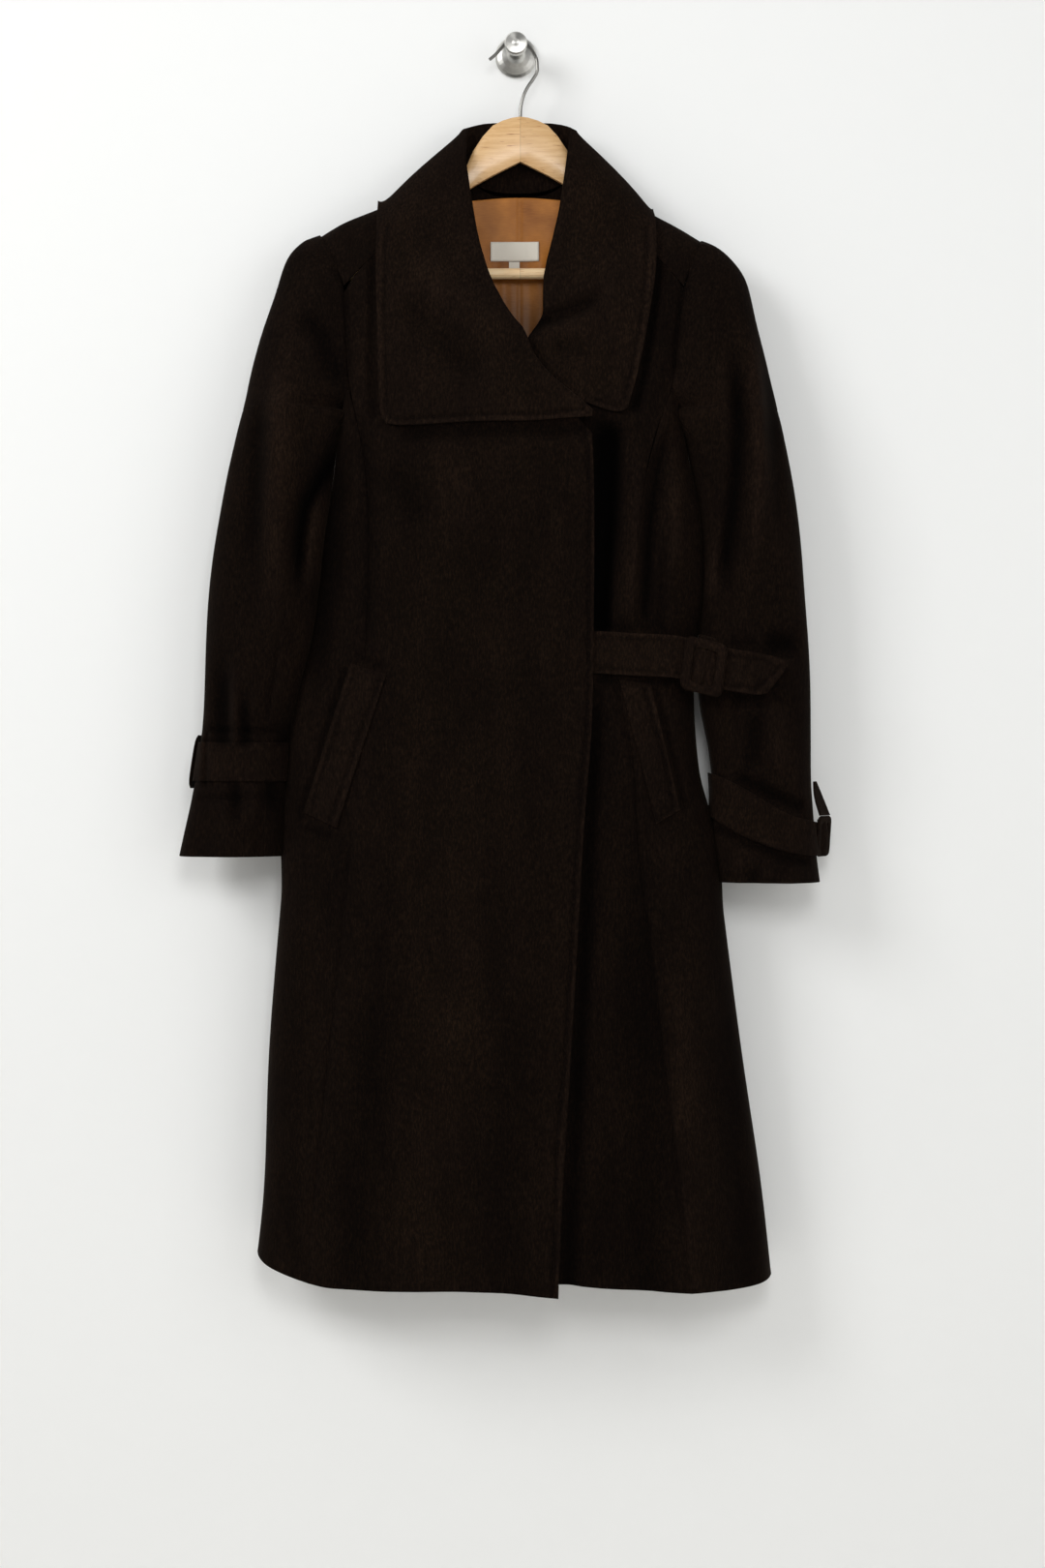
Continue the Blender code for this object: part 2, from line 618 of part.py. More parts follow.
def front_centre(body, name, side_line, edge_line, hem, columns, lap):
    """A centre front panel, from its princess seam to its front edge and up to the shoulder seam and neck."""
    side_at, edge_at = straight(side_line), straight(edge_line)
    inward = SEAM if side_line[0][1] < edge_line[0][1] else -SEAM

    def start(z):
        return body.angle(side_at(z) + inward, z)

    def end(z):
        return body.angle(edge_at(z) - inward, z)

    grid = []
    for z in rows_between(HEM_NOMINAL, -146):
        row = body.arc(start(z), end(z), z, columns)
        if z < HEM_NOMINAL + HEM_FADE:
            row = body.ruled(start, end, hem_heights(row[:, 0], z, hem))
        grid.append(step_behind(row) if lap else row)
    return cloth(name, [grid])


def front_side(body, name, seam_line, hole, hem, columns, lap):
    """A side front panel, from the side seam to the princess seam, up to the armhole's lower curve."""
    seam_at = straight(seam_line)
    side_angle, inward = (0.0, SEAM) if hole.low_side else (math.pi, -SEAM)

    def start(z):
        return side_angle + inward / body.half(z) * 3

    def end(z):
        return body.angle(seam_at(z) - inward, z)

    grid = []
    for z in rows_between(HEM_NOMINAL, TOP_ROW):
        row = body.arc(start(z), end(z), z, columns)
        if z < HEM_NOMINAL + HEM_FADE:
            row = body.ruled(start, end, hem_heights(row[:, 0], z, hem))
        if z > ARMHOLE_FADE:
            row = body.ruled(start, end, hole.bend(row[:, 1], z, TOP_ROW))
        grid.append(step_behind(row) if lap else row)
    return cloth(name, [grid])


def ridge_height(body, x):
    """Height of the shoulder ridge over x."""
    heights = np.linspace(-204, -118, 200)
    low, high = body.low(heights), body.high(heights)
    return np.where(x < 4, np.interp(x, low, heights), np.interp(-x, -high, heights))


def back_panel(body, right_hole, left_hole):
    """The back, up to its neck edge, and forward over both shoulders to the forward shoulder seams."""
    columns = 2 * SHOULDER_COLUMNS + NECK_COLUMNS + 1
    neck_low, neck_high = NECK_SIDE
    tops = np.concatenate([
        np.linspace(right_hole.tip[0] + SEAM, neck_low, SHOULDER_COLUMNS + 1)[:-1],
        np.linspace(neck_low, neck_high, NECK_COLUMNS + 1),
        np.linspace(neck_high, left_hole.tip[0] - SEAM, SHOULDER_COLUMNS + 1)[1:],
    ])

    def start(z):
        return -SEAM / body.half(z) * 3

    def end(z):
        return -math.pi + SEAM / body.half(z) * 3

    grid = []
    for z in rows_between(HEM_NOMINAL, -405):
        row = body.arc(start(z), end(z), z, columns)
        if z < HEM_NOMINAL + HEM_FADE:
            row = body.ruled(start, end, hem_heights(row[:, 0], z, BACK_HEM))
        grid.append(row)
    for z in [-392, -388, -382, -375, -360] + rows_between(-345, -235):
        right_end = max(body.angle(right_hole.back_x(z) + SEAM, z), -start(z))
        left_end = min(body.angle(left_hole.back_x(z) - SEAM, z), -end(z))
        grid.append(body.arc(-right_end, -left_end, z, columns))
    last = grid[-1]
    in_neck = (tops > neck_low + 1) & (tops < neck_high - 1)
    middle, reach = (neck_low + neck_high) / 2, (neck_high - neck_low) / 2
    neck_edge = NECK_BACK + (NECK_POINT - NECK_BACK) * np.abs((tops - middle) / reach) ** 3
    heights = np.where(in_neck, neck_edge, ridge_height(body, tops))
    for share in (0.3, 0.6, 0.82, 0.95, 1.0):
        x = last[:, 0] + (tops - last[:, 0]) * share
        z = last[:, 2] + (heights - last[:, 2]) * share
        grid.append(np.stack([x, body.back_at(x, z), z], axis=-1))
    grid[-1][~in_neck, 1] = body.side(heights[~in_neck])
    ridge = grid[-1]
    grids = [grid]
    for seam, hole, inward in ((RIGHT_SHOULDER_SEAM, right_hole, SEAM),
                               (LEFT_SHOULDER_SEAM, left_hole, -SEAM)):
        (tip_x, tip_z), (neck_x, neck_z) = seam
        strip = []
        for order in range(SHOULDER_COLUMNS + 1):
            column = order if inward > 0 else columns - 1 - order
            share = order / SHOULDER_COLUMNS
            down = np.array([0.0, 0.06, 0.26, 0.6, 1.0])
            top_x, top_d, top_z = ridge[column]
            x = top_x + (tip_x + (neck_x - tip_x) * share - top_x) * down
            z = top_z + (tip_z + (neck_z - tip_z) * share - top_z) * down
            if order == 0:
                z = np.array([top_z, (top_z - 214) / 2, -214, -235, tip_z])
                x = np.array([top_x] + [hole.front_x(height) + inward for height in z[1:]])
            d = np.concatenate([[top_d], body.front_at(x[1:], z[1:])])
            strip.append(np.stack([x, d, z], axis=-1))
        grids.append(strip)
    return cloth("back", grids)


def ring_at(parts, z):
    """Points round a sleeve at height z, from the inner side over the front and outer side to the back."""
    upper, under = parts
    rows = [np.array([[np.interp(z, grid[:, i, 2],
                                 grid[:, i, k]) for k in range(3)] for i in range(grid.shape[1])])
            for grid in (upper[:CUFF_ROWS], under[:CUFF_ROWS])]
    top, low = rows
    return np.concatenate([low[4:0:-1], [(low[0] + top[0]) / 2], top[1:-1]])


def sleeve(body, name, tube, rows, seam_line, hole, cap_end, columns):
    """A two-piece sleeve: its upper part, which takes in the cap, and its under part."""
    sign = 1 if hole.low_side else -1
    seam_at = straight(seam_line)
    turn = 0.0 if hole.low_side else 2 * math.pi

    def back_seam_x(z):
        inner, outer = (tube.high(z), tube.low(z)) if hole.low_side else (tube.low(z), tube.high(z))
        return inner + (outer - inner) * BACK_SEAM_SHARE

    upper, under = [], []
    for z in [row[0] for row in rows]:
        joined = z > TOP_ROW - 1
        corner = ARMHOLE_SEAM + 4.4 * ease((hole.front_top + 16 - z) / 14)
        front_x = hole.front_x(z) - sign * corner if joined else seam_at(z) - sign * SEAM
        back_x = hole.back_x(z) - sign * ARMHOLE_SEAM if joined else back_seam_x(z) - sign * 2 * SEAM
        row = tube.arc(tube.angle(front_x, z), turn - tube.angle(back_x, z), z, columns)
        if joined:
            for index, goal in ((0, (front_x, body.front_at(front_x, z))),
                                (-1, (back_x, body.back_at(back_x, z)))):
                fade = ease(1 - np.abs(row[:, 0] - row[index, 0]) / 42.0)
                half = np.arange(columns) < columns / 2
                row[:, 1] += (goal[1] - row[index, 1]) * fade * (half if index == 0 else ~half)
                row[index, 0] = goal[0]
        upper.append(row)
        if not joined:
            def start(h):
                return tube.angle(seam_at(h) + sign * SEAM, h)

            def end(h):
                angle = tube.angle(back_seam_x(h) + sign * 2 * SEAM, h)
                return -angle + 2 * math.pi if hole.low_side else -angle

            row = tube.arc(start(z), end(z), z, columns // 2 + 1)
            if z > ARMHOLE_FADE:
                row = tube.ruled(start, end, hole.bend(row[:, 1], z, -377.0, UNDER_TOP))
            under.append(row)
    fold = 1 - np.abs(np.linspace(-1, 1, columns))
    tip_x, tip_z = hole.tip[0] - sign * ARMHOLE_SEAM, hole.tip[1]
    upper.append(np.stack([tip_x + (cap_end[0] - tip_x) * fold, np.full(columns, body.side(tip_z)),
                           tip_z - 0.4 + (cap_end[1] - tip_z) * fold], axis=-1))
    cloth(name + "_upper", [upper])
    cloth(name + "_under", [under])
    return np.array(upper), np.array(under)


def fold_face(roll):
    """The direction in which the fall stands off the stand, level and away from the neck's middle."""
    away = np.array([roll[0] - HANGER_MIDDLE, roll[1] - 40.0, 0.0])
    if abs(away[0]) < 30:
        away[0] *= 0.3
    return away / np.linalg.norm(away)


def clear_of_body(body, spot, clear, under):
    """Moves a point of the collar out of the body's cloth, the shortest way: forwards, backwards or up."""
    x, d, z = spot
    if body.low(z) + 1 < x < body.high(z) - 1 and z > -420:
        ahead = np.array([[x, float(body.front_at(x, z)), z]])
        front = float((step_behind(ahead) if under else ahead)[0, 1]) + clear - d
        behind = d - float(body.back_at(x, z)) + clear
        up = float(ridge_height(body, x)) + clear - z if not NECK_SIDE[0] < x < NECK_SIDE[1] else 1e9
        if min(front, behind, up) > 0:
            move = [(front, (0, 1, 0)), (behind, (0, -1, 0)), (up, (0, 0, 1))]
            far, way = min(move, key=lambda item: item[0])
            return spot + far * np.array(way, float)
    elif z > -204 and not NECK_SIDE[0] < x < NECK_SIDE[1]:
        up = float(ridge_height(body, x)) + clear - z
        if up > 0:
            return spot + np.array([0.0, 0.0, up])
    return spot


def collar_station(body, place, values):
    """One line across the collar: from the neck seam, over the roll, to the free edge."""
    point = dict(zip(COLLAR_COLUMNS, values))
    under = place > LAST_SHOULDER_STATION - 0.5
    on_shoulder = ease((place - FIRST_SHOULDER_STATION + 1.5) / 2) * ease((LAST_SHOULDER_STATION + 1.5
                                                                           - place) / 2)

    def rest(x, z, clear):
        spot = np.array([[x, 0.0, z]])
        spot[0, 1] = body.front_at(x, z)
        return float((step_behind(spot) if under else spot)[0, 1]) + clear

    neck, roll, edge = [np.array([point[key + "_x"], point[key + "_d"], point[key + "_z"]], float)
                        for key in ("neck", "roll", "edge")]
    away = edge - roll
    away /= np.linalg.norm(away)
    face = fold_face(roll) * on_shoulder + np.array([0.0, 1.0, 0.0]) * (1 - on_shoulder)
    face /= np.linalg.norm(face)
    radius = point["fold"] / 2
    stand_foot = roll + away * radius - face * radius
    fall_top = roll + away * radius + face * radius
    line = [neck + (stand_foot - neck) * share for share in (0.0, 0.5, 1.0)]
    line.append(roll + away * radius * 0.3 - face * radius * 0.75)
    line.append(roll)
    line.append(roll + away * radius * 0.3 + face * radius * 0.75)
    for row in range(FALL_ROWS + 1):
        share = row / FALL_ROWS
        spot = fall_top + (edge - fall_top) * share
        if on_shoulder < 1 and share > 0:
            spot[1] += (rest(spot[0], spot[2], COLLAR_CLEAR) - spot[1]) * (1 - on_shoulder)
        spot = spot + face * 6.0 * math.sin(math.pi * share) * on_shoulder
        line.append(clear_of_body(body, spot, COLLAR_CLEAR + 2.0 * on_shoulder,
                                  under) if share > 0.1 else spot)
    return line


def collar(body):
    """The collar in one piece, through smooth lines between the stations of its table."""
    table = np.array(COLLAR, float)
    for station, values in enumerate(table):
        under = station > LAST_SHOULDER_STATION
        for first, clear in ((0, COLLAR_SEAM_CLEAR - 0.4), (3, COLLAR_CLEAR / 2), (6, COLLAR_CLEAR)):
            if values[first + 1] == 0:
                spot = np.array([[values[first], 0.0, values[first + 2]]])
                spot[0, 1] = body.front_at(spot[0, 0], spot[0, 2])
                values[first + 1] = (step_behind(spot) if under else spot)[0, 1] + clear
    order = np.arange(len(table), dtype=float)
    columns = [track(np.stack([order, table[:, k]], axis=1)) for k in range(table.shape[1])]
    places = np.linspace(0, len(table) - 1, COLLAR_STATIONS)
    grid = [collar_station(body, place, [float(column(place)) for column in columns]) for place in places]
    return cloth("collar", [np.array(grid)])


def welt(body, name, corners, lap):
    """A pocket welt: a narrow band that lies on the front."""
    upper_front, upper_side, lower_side, lower_front = [np.array(corner, float) for corner in corners]
    grid = []
    for down in np.linspace(0, 1, 9):
        front, side = upper_front + (lower_front - upper_front) * down, upper_side + (lower_side
                                                                                      - upper_side) * down
        row = []
        for across in np.linspace(0, 1, 5):
            x, z = front + (side - front) * across
            row.append([x, body.front_at(x, z), z])
        row = np.array(row)
        row = step_behind(row) if lap else row
        row[:, 1] += WOOL + LIFT
        grid.append(row)
    return cloth(name, [grid])


def belt():
    """The half belt: a flat band with a pointed tip."""
    grid = []
    line = np.array(BELT_LINE, float)
    for x, z, d in line:
        grid.append([[x, d, z + BELT_HALF * share] for share in (-1, -0.5, 0, 0.5, 1)])
    x, z, d = BELT_TIP
    grid.append([[x - 20, d - 0.4, z - 27], [x - 12, d, z - 17], [x - 5, d, z - 8], [x, d, z], [x, d, z + 6]])
    return cloth("belt", [grid])


def buckle():
    """The cloth-covered frame and its bar."""
    c, s = math.cos(BUCKLE_TILT), math.sin(BUCKLE_TILT)
    frame_loop("buckle", BUCKLE_CENTRE, (c, 0, s), (-s, 0, c), BUCKLE_SIZE, 7, BUCKLE_RIM, BUCKLE_THICK)
    half = BUCKLE_SIZE[1] / 2 - BUCKLE_RIM - 0.35
    x, d, z = BUCKLE_CENTRE
    bar = []
    for up in (-half, half):
        bar.append([(x + 1.6 * math.cos(a) * c - up * s, d + 0.4 + 1.6 * math.sin(a),
                     z + 1.6 * math.cos(a) * s + up * c)
                    for a in np.linspace(0, 2 * math.pi, 9)[:-1]])
    solid("buckle_bar", bar, "steel")


def belt_loop():
    """The loop at the side seam that keeps the belt up, round the belt and behind the buckle."""
    ring = rounded_loop(2 * 2.1, 2 * 25.0, 1.9)
    grid = []
    for x in np.linspace(*LOOP_X, 3):
        z, d = np.interp(x, *np.array(BELT_LINE)[:, :2].T), np.interp(x, *np.array(BELT_LINE)[:, [0, 2]].T)
        grid.append([[x, d + across, z + 2 + up] for across, up in ring])
    return cloth("belt_loop", [grid], thick=1.4, closed=True)


def cuff_strap(name, parts, columns, edges, lift, rows=4):
    """A strap made from a sleeve's own points, moved out. Its edges give the top and the bottom for x."""
    tops, lows = straight([(x, top) for x, top, _ in edges]), straight([(x, low) for x, _, low in edges])
    grid = []
    for share in np.linspace(0, 1, rows):
        line = []
        for i in range(*columns):
            guide = ring_at(parts, -760)[i]
            z = float(lows(guide[0]) + (tops(guide[0]) - lows(guide[0])) * share)
            line.append(ring_at(parts, z)[i])
        grid.append(line)
    return cloth(name, [outward(grid, lift)])


def cuff_straps(right_parts, left_parts):
    """Both cuff straps, the keeper on the right one, and the slider and the free end on the left one."""
    cuff_strap("cuff_strap_right", right_parts, (2, 16), [(-400, -709, -748), (-100, -709, -748)], 3.0)
    keeper = []
    for z, lift in ((-755, 3.0), (-750.5, 5.9), (-729, 5.9), (-706.5, 5.9), (-702, 3.0)):
        keeper.append(outward(np.array([ring_at(right_parts, z - 1), ring_at(right_parts, z + 1)]), lift)
                      [:, KEEPER_RIGHT[0]:KEEPER_RIGHT[1]].mean(axis=0))
    cloth("cuff_keeper_right", [keeper])
    cuff_strap("cuff_strap_left", left_parts, (1, 16), LEFT_STRAP_EDGES, -3.4)
    frame_loop("cuff_slider_left", SLIDER_CENTRE, (0, 1, 0), (0.07, 0, 1), SLIDER_SIZE, 6, 7.5, 3.6)
    end = [[(x, SLIDER_CENTRE[1] + half * share, z) for share in (-1, -0.5, 0, 0.5, 1)] for z, x,
           half in CUFF_END]
    cloth("cuff_end_left", [end])


def lining(body):
    """Satin at the back neck, with the bare label and size tab sewn on it."""
    grid = []
    lie = WOOL / 2 + 1.3 + SATIN / 2
    for z in np.linspace(-330, -156, 9):
        x = np.linspace(-78, 84, 12)
        grid.append(np.stack([x, body.back_at(x, z) + lie, np.full(12, z)], axis=-1))
    cloth("lining_back", [grid], SATIN, "satin")
    flat = lie + SATIN / 2 + 0.4 + 0.4
    for name, x_range, z_range in (("label", (-26, 23.5), (-215.3, -195.5)),
                                   ("size_tab", (-7.2, 3.7), (-222.6, -215.8))):
        tag = []
        for z in np.linspace(*z_range, 2):
            x = np.linspace(*x_range, 4)
            tag.append(np.stack([x, body.back_at(x, z) + flat, np.full(4, z)], axis=-1))
        cloth(name, [tag], 0.8, "label")


def hanger(body):
    """Beech arms in one piece, with the trouser bar between their ends and the wire hook."""
    profile = np.array(HANGER, float)
    sections = []
    for side in (-1, 1):
        for x, top, low in (profile[::-1] if side < 0 else profile[1:]):
            x = HANGER_MIDDLE + side * x
            limit = float(ridge_height(body, x)) - HANGER_TOP_CLEAR if abs(x - HANGER_MIDDLE) > 50 else top
            drop = min(0.0, limit - top)
            top, low = top + drop, low + drop * (low > BAR_HEIGHT)
            middle, tall = (top + low) / 2, (top - low) / 2
            ring = []
            for step in range(12):
                turn = 2 * math.pi * (step + 0.5) / 12
                across = math.copysign(abs(math.cos(turn)) ** 0.55, math.cos(turn)) * HANGER_THICK / 2
                up = math.copysign(abs(math.sin(turn)) ** 0.8, math.sin(turn)) * tall
                ring.append((x, HANGER_PLANE + across, middle + up))
            sections.append(ring)
    solid("hanger", sections, "beech")
    reach = HANGER[13][0] - 0.9
    bar = []
    for x in (HANGER_MIDDLE - reach, HANGER_MIDDLE + reach):
        ring = [(x, HANGER_PLANE + BAR_RADIUS * math.cos(a), BAR_HEIGHT + BAR_RADIUS * math.sin(a))
                for a in np.linspace(0, 2 * math.pi, 17)[:-1]]
        bar.append(ring)
    solid("hanger_bar", bar, "beech")
    wire = bpy.data.curves.new("hanger_hook", "CURVE")
    wire.dimensions = "3D"
    wire.bevel_depth = WIRE_RADIUS * MM
    wire.bevel_resolution = 2
    wire.use_fill_caps = True
    route = np.array(HOOK, float)
    walk = np.concatenate([[0], np.cumsum(np.hypot(*np.diff(route, axis=0).T))])
    even = np.linspace(0, walk[-1], 34)
    xs, zs = track(np.stack([walk, route[:, 0]], 1)), track(np.stack([walk, route[:, 1]], 1))
    spline = wire.splines.new("POLY")
    spline.points.add(len(even) - 1)
    for point, s in zip(spline.points, even):
        point.co = (float(xs(s)) * MM, -HANGER_PLANE * MM, float(zs(s)) * MM, 1)
    made = bpy.data.objects.new("hanger_hook", wire)
    made.data.materials.append(material("hanger_hook", "steel"))
    bpy.context.scene.collection.objects.link(made)


def knob():
    """The wall knob: rosette, shaft and cap, turned about the level axis out of the wall."""
    rings = []
    for radius, out in KNOB:
        ring = [(radius * math.cos(a), out, radius * math.sin(a)) for a in np.linspace(0, 2 * math.pi,
                                                                                       KNOB_SIDES + 1)[:-1]]
        rings.append(ring)
    solid("knob", rings, "steel", 30)


def main():
    for old in list(bpy.data.objects):
        bpy.data.objects.remove(old, do_unlink=True)
    body = Tube(BODY, (1, 2), ROUND, FRONT_FOLDS, BACK_FOLDS)
    right_tube = Tube(RIGHT_SLEEVE, (1, 2), SLEEVE_ROUND, RIGHT_SLEEVE_FOLDS, [])
    left_tube = Tube(LEFT_SLEEVE, (2, 1), SLEEVE_ROUND, LEFT_SLEEVE_FOLDS, [])
    right_tube.keep_beside(body)
    left_tube.keep_beside(body)
    right_hole = Armhole(body, RIGHT_ARMHOLE_FRONT, RIGHT_ARMHOLE_BACK)
    left_hole = Armhole(body, LEFT_ARMHOLE_FRONT, LEFT_ARMHOLE_BACK)
    front_centre(body, "front_right_centre", RIGHT_CENTRE_SIDE, RIGHT_CENTRE_EDGE, RIGHT_HEM, 14, False)
    front_centre(body, "front_left_centre", LEFT_CENTRE_SIDE, LEFT_CENTRE_EDGE, LEFT_HEM, 10, True)
    front_side(body, "front_right_side", RIGHT_CENTRE_SIDE, right_hole, RIGHT_HEM, 6, False)
    front_side(body, "front_left_side", LEFT_CENTRE_SIDE, left_hole, LEFT_HEM, 6, True)
    back_panel(body, right_hole, left_hole)
    right_parts = sleeve(body, "sleeve_right", right_tube, RIGHT_SLEEVE, RIGHT_SLEEVE_SEAM, right_hole,
                         RIGHT_CAP_END, 15)
    left_parts = sleeve(body, "sleeve_left", left_tube, LEFT_SLEEVE, LEFT_SLEEVE_SEAM, left_hole,
                        LEFT_CAP_END, 15)
    collar(body)
    welt(body, "pocket_welt_right", RIGHT_WELT, False)
    welt(body, "pocket_welt_left", LEFT_WELT, True)
    belt()
    buckle()
    belt_loop()
    cuff_straps(right_parts, left_parts)
    lining(body)
    hanger(body)
    knob()


main()
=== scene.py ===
"""The dressed look of a wool trench coat on its hanger and wall knob.

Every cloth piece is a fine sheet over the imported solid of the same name: merged, smoothed, then creased, stitched and
given its own napped coating. Right and left are the wearer's, so the right side is at -X. Lengths in the tables are
millimetres: x across, z up, and out from the wall (y = -out).
"""

import logging
import math
from dataclasses import dataclass
from enum import Enum
from typing import Callable, Iterator, Sequence

import bmesh
import bpy
import numpy as np
from mathutils import Matrix, Vector
from mathutils.bvhtree import BVHTree

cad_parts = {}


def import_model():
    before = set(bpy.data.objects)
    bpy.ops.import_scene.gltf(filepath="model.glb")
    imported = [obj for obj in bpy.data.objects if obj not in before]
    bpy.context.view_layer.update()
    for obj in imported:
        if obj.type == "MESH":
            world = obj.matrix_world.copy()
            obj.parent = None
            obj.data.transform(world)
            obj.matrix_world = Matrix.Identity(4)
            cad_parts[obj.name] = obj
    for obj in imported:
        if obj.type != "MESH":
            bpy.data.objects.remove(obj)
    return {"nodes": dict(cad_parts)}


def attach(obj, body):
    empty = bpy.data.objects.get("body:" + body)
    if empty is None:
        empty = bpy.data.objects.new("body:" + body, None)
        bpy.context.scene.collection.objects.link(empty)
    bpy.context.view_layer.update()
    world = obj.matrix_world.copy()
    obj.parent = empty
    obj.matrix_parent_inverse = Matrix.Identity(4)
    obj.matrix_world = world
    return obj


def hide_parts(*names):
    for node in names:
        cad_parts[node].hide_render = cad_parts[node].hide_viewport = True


MM = 0.001
ROOT = "root"
LOG = logging.getLogger("coat")
Point = tuple[float, float]
Place = tuple[float, float, float]


# ---------------------------------------------------------------------------------------------------------- finishes

WAVE_BAND = math.tau / 20  # m from band to band in a Wave texture of scale 1


def linear(colour: str) -> tuple[float, float, float, float]:
    """Turns an sRGB hex colour into linear values.

    Args:
        colour: six hex digits, such as "d8b48a".

    Returns:
        Red, green, blue and alpha, linear.
    """
    parts = [int(colour[i:i + 2], 16) / 255 for i in (0, 2, 4)]
    return (*[c / 12.92 if c <= 0.04045 else ((c + 0.055) / 1.055) ** 2.4 for c in parts], 1.0)


class Nodes:
    """A material's node tree while it is being made."""

    def __init__(self, name: str) -> None:
        """Starts a material with a Principled shader and Object coordinates.

        Args:
            name: the material's name.
        """
        self.material = bpy.data.materials.new(name)
        self.material.use_nodes = True
        self.tree = self.material.node_tree
        self.shader = self.tree.nodes["Principled BSDF"]
        self.place = self.add("TexCoord", out="Object")

    def fill(self, node: bpy.types.Node, settings: dict) -> None:
        """Sets a node up.

        Args:
            node: the node.
            settings: a value under a property's name; a value, or the output to link in, under a socket's name or
                number; and a ramp's positions and sRGB hex colours under "stops".
        """
        for key, value in settings.items():
            if isinstance(value, bpy.types.NodeSocket):
                self.tree.links.new(value, node.inputs[key])
            elif key == "stops":
                band = node.color_ramp.elements
                while len(band) < len(value):
                    band.new(0.5)
                for element, (position, colour) in zip(band, value):
                    element.position = position
                    element.color = linear(colour)
            elif isinstance(key, str) and hasattr(node, key):
                setattr(node, key, value)
            else:
                node.inputs[key].default_value = value

    def add(self, kind: str, settings: dict | None = None, out: int | str = 0) -> bpy.types.NodeSocket:
        """Adds a node.

        Args:
            kind: the node's type, without its ShaderNode prefix.
            settings: as for fill.
            out: the name or number of the output that is wanted.

        Returns:
            That output.
        """
        node = self.tree.nodes.new("ShaderNode" + kind)
        self.fill(node, settings or {})
        return node.outputs[out]

    def shade(self, settings: dict) -> bpy.types.Material:
        """Sets the shader up.

        Args:
            settings: as for fill.

        Returns:
            The finished material.
        """
        self.fill(self.shader, settings)
        return self.material


@dataclass(frozen=True)
class WoolCoating:
    """Wool coating, woven, milled and raised: a soft matt nap brushed downwards that hides the weave."""

    name: str = "napped_wool_coating"
    deep: str = "070403"
    body: str = "0f0906"
    tip: str = "1c130d"
    nap_mm: float = 1.6  # length of a brushed tuft; the real fibre is finer and wouldn't show
    nap_lie: float = 0.33  # tufts are three times as long down the cloth as across it
    cloud_mm: float = 38.0  # size of the lighter and darker patches where the nap lies differently
    cloud_share: float = 0.4
    rubbed_most: float = 11.0  # mm of lift past which the painted highlight on a ridge and the painted shade in a fold get no stronger
    rough: float = 0.95

    def make(self) -> bpy.types.Material:
        """Makes the material.

        Returns:
            A near-black brown with soft patches, a fine downward nap, a weak fibre sheen, and painted highlight on
            ridges and painted shade in folds.
        """
        n = Nodes(self.name)
        down = n.add("Mapping", {"Scale": (1.0, 1.0, self.nap_lie), "Vector": n.place})
        tufts = n.add("TexNoise", {"Scale": 1 / (self.nap_mm * MM), "Detail": 3.0, "Roughness": 0.62, "Vector": down})
        clouds = n.add("TexNoise", {"Scale": 1 / (self.cloud_mm * MM), "Detail": 4.0, "Roughness": 0.55,
                                    "Vector": down})
        both = n.add("Math", {"operation": "MULTIPLY_ADD", 0: clouds, 1: self.cloud_share, 2: tufts})
        tone = n.add("MapRange", {"From Min": 0.46, "From Max": 0.96, "Value": both})
        colour = n.add("ValToRGB", {"stops": ((0.0, self.deep), (0.5, self.body), (1.0, self.tip)), "Fac": tone})
        # Painted light and shade: the colour is painted paler on a ridge and darker in a fold, by how far the cloth is
        # lifted there.
        rubbed = n.add("Attribute", {"attribute_name": "rubbed"}, "Fac")
        light = n.add("MapRange", {"interpolation_type": "SMOOTHSTEP", "From Min": -self.rubbed_most,
                                   "From Max": self.rubbed_most, "To Min": 0.08, "To Max": 1.92, "Value": rubbed})
        colour = n.add("VectorMath", {"operation": "SCALE", 0: colour, "Scale": light})
        relief = n.add("Bump", {"Strength": 0.55, "Distance": 0.5 * MM, "Height": tufts})
        return n.shade({"Roughness": self.rough, "Specular IOR Level": 0.03, "Sheen Weight": 0.04,
                        "Sheen Roughness": 0.4, "Sheen Tint": linear("8f7860"), "Base Color": colour,
                        "Normal": relief})


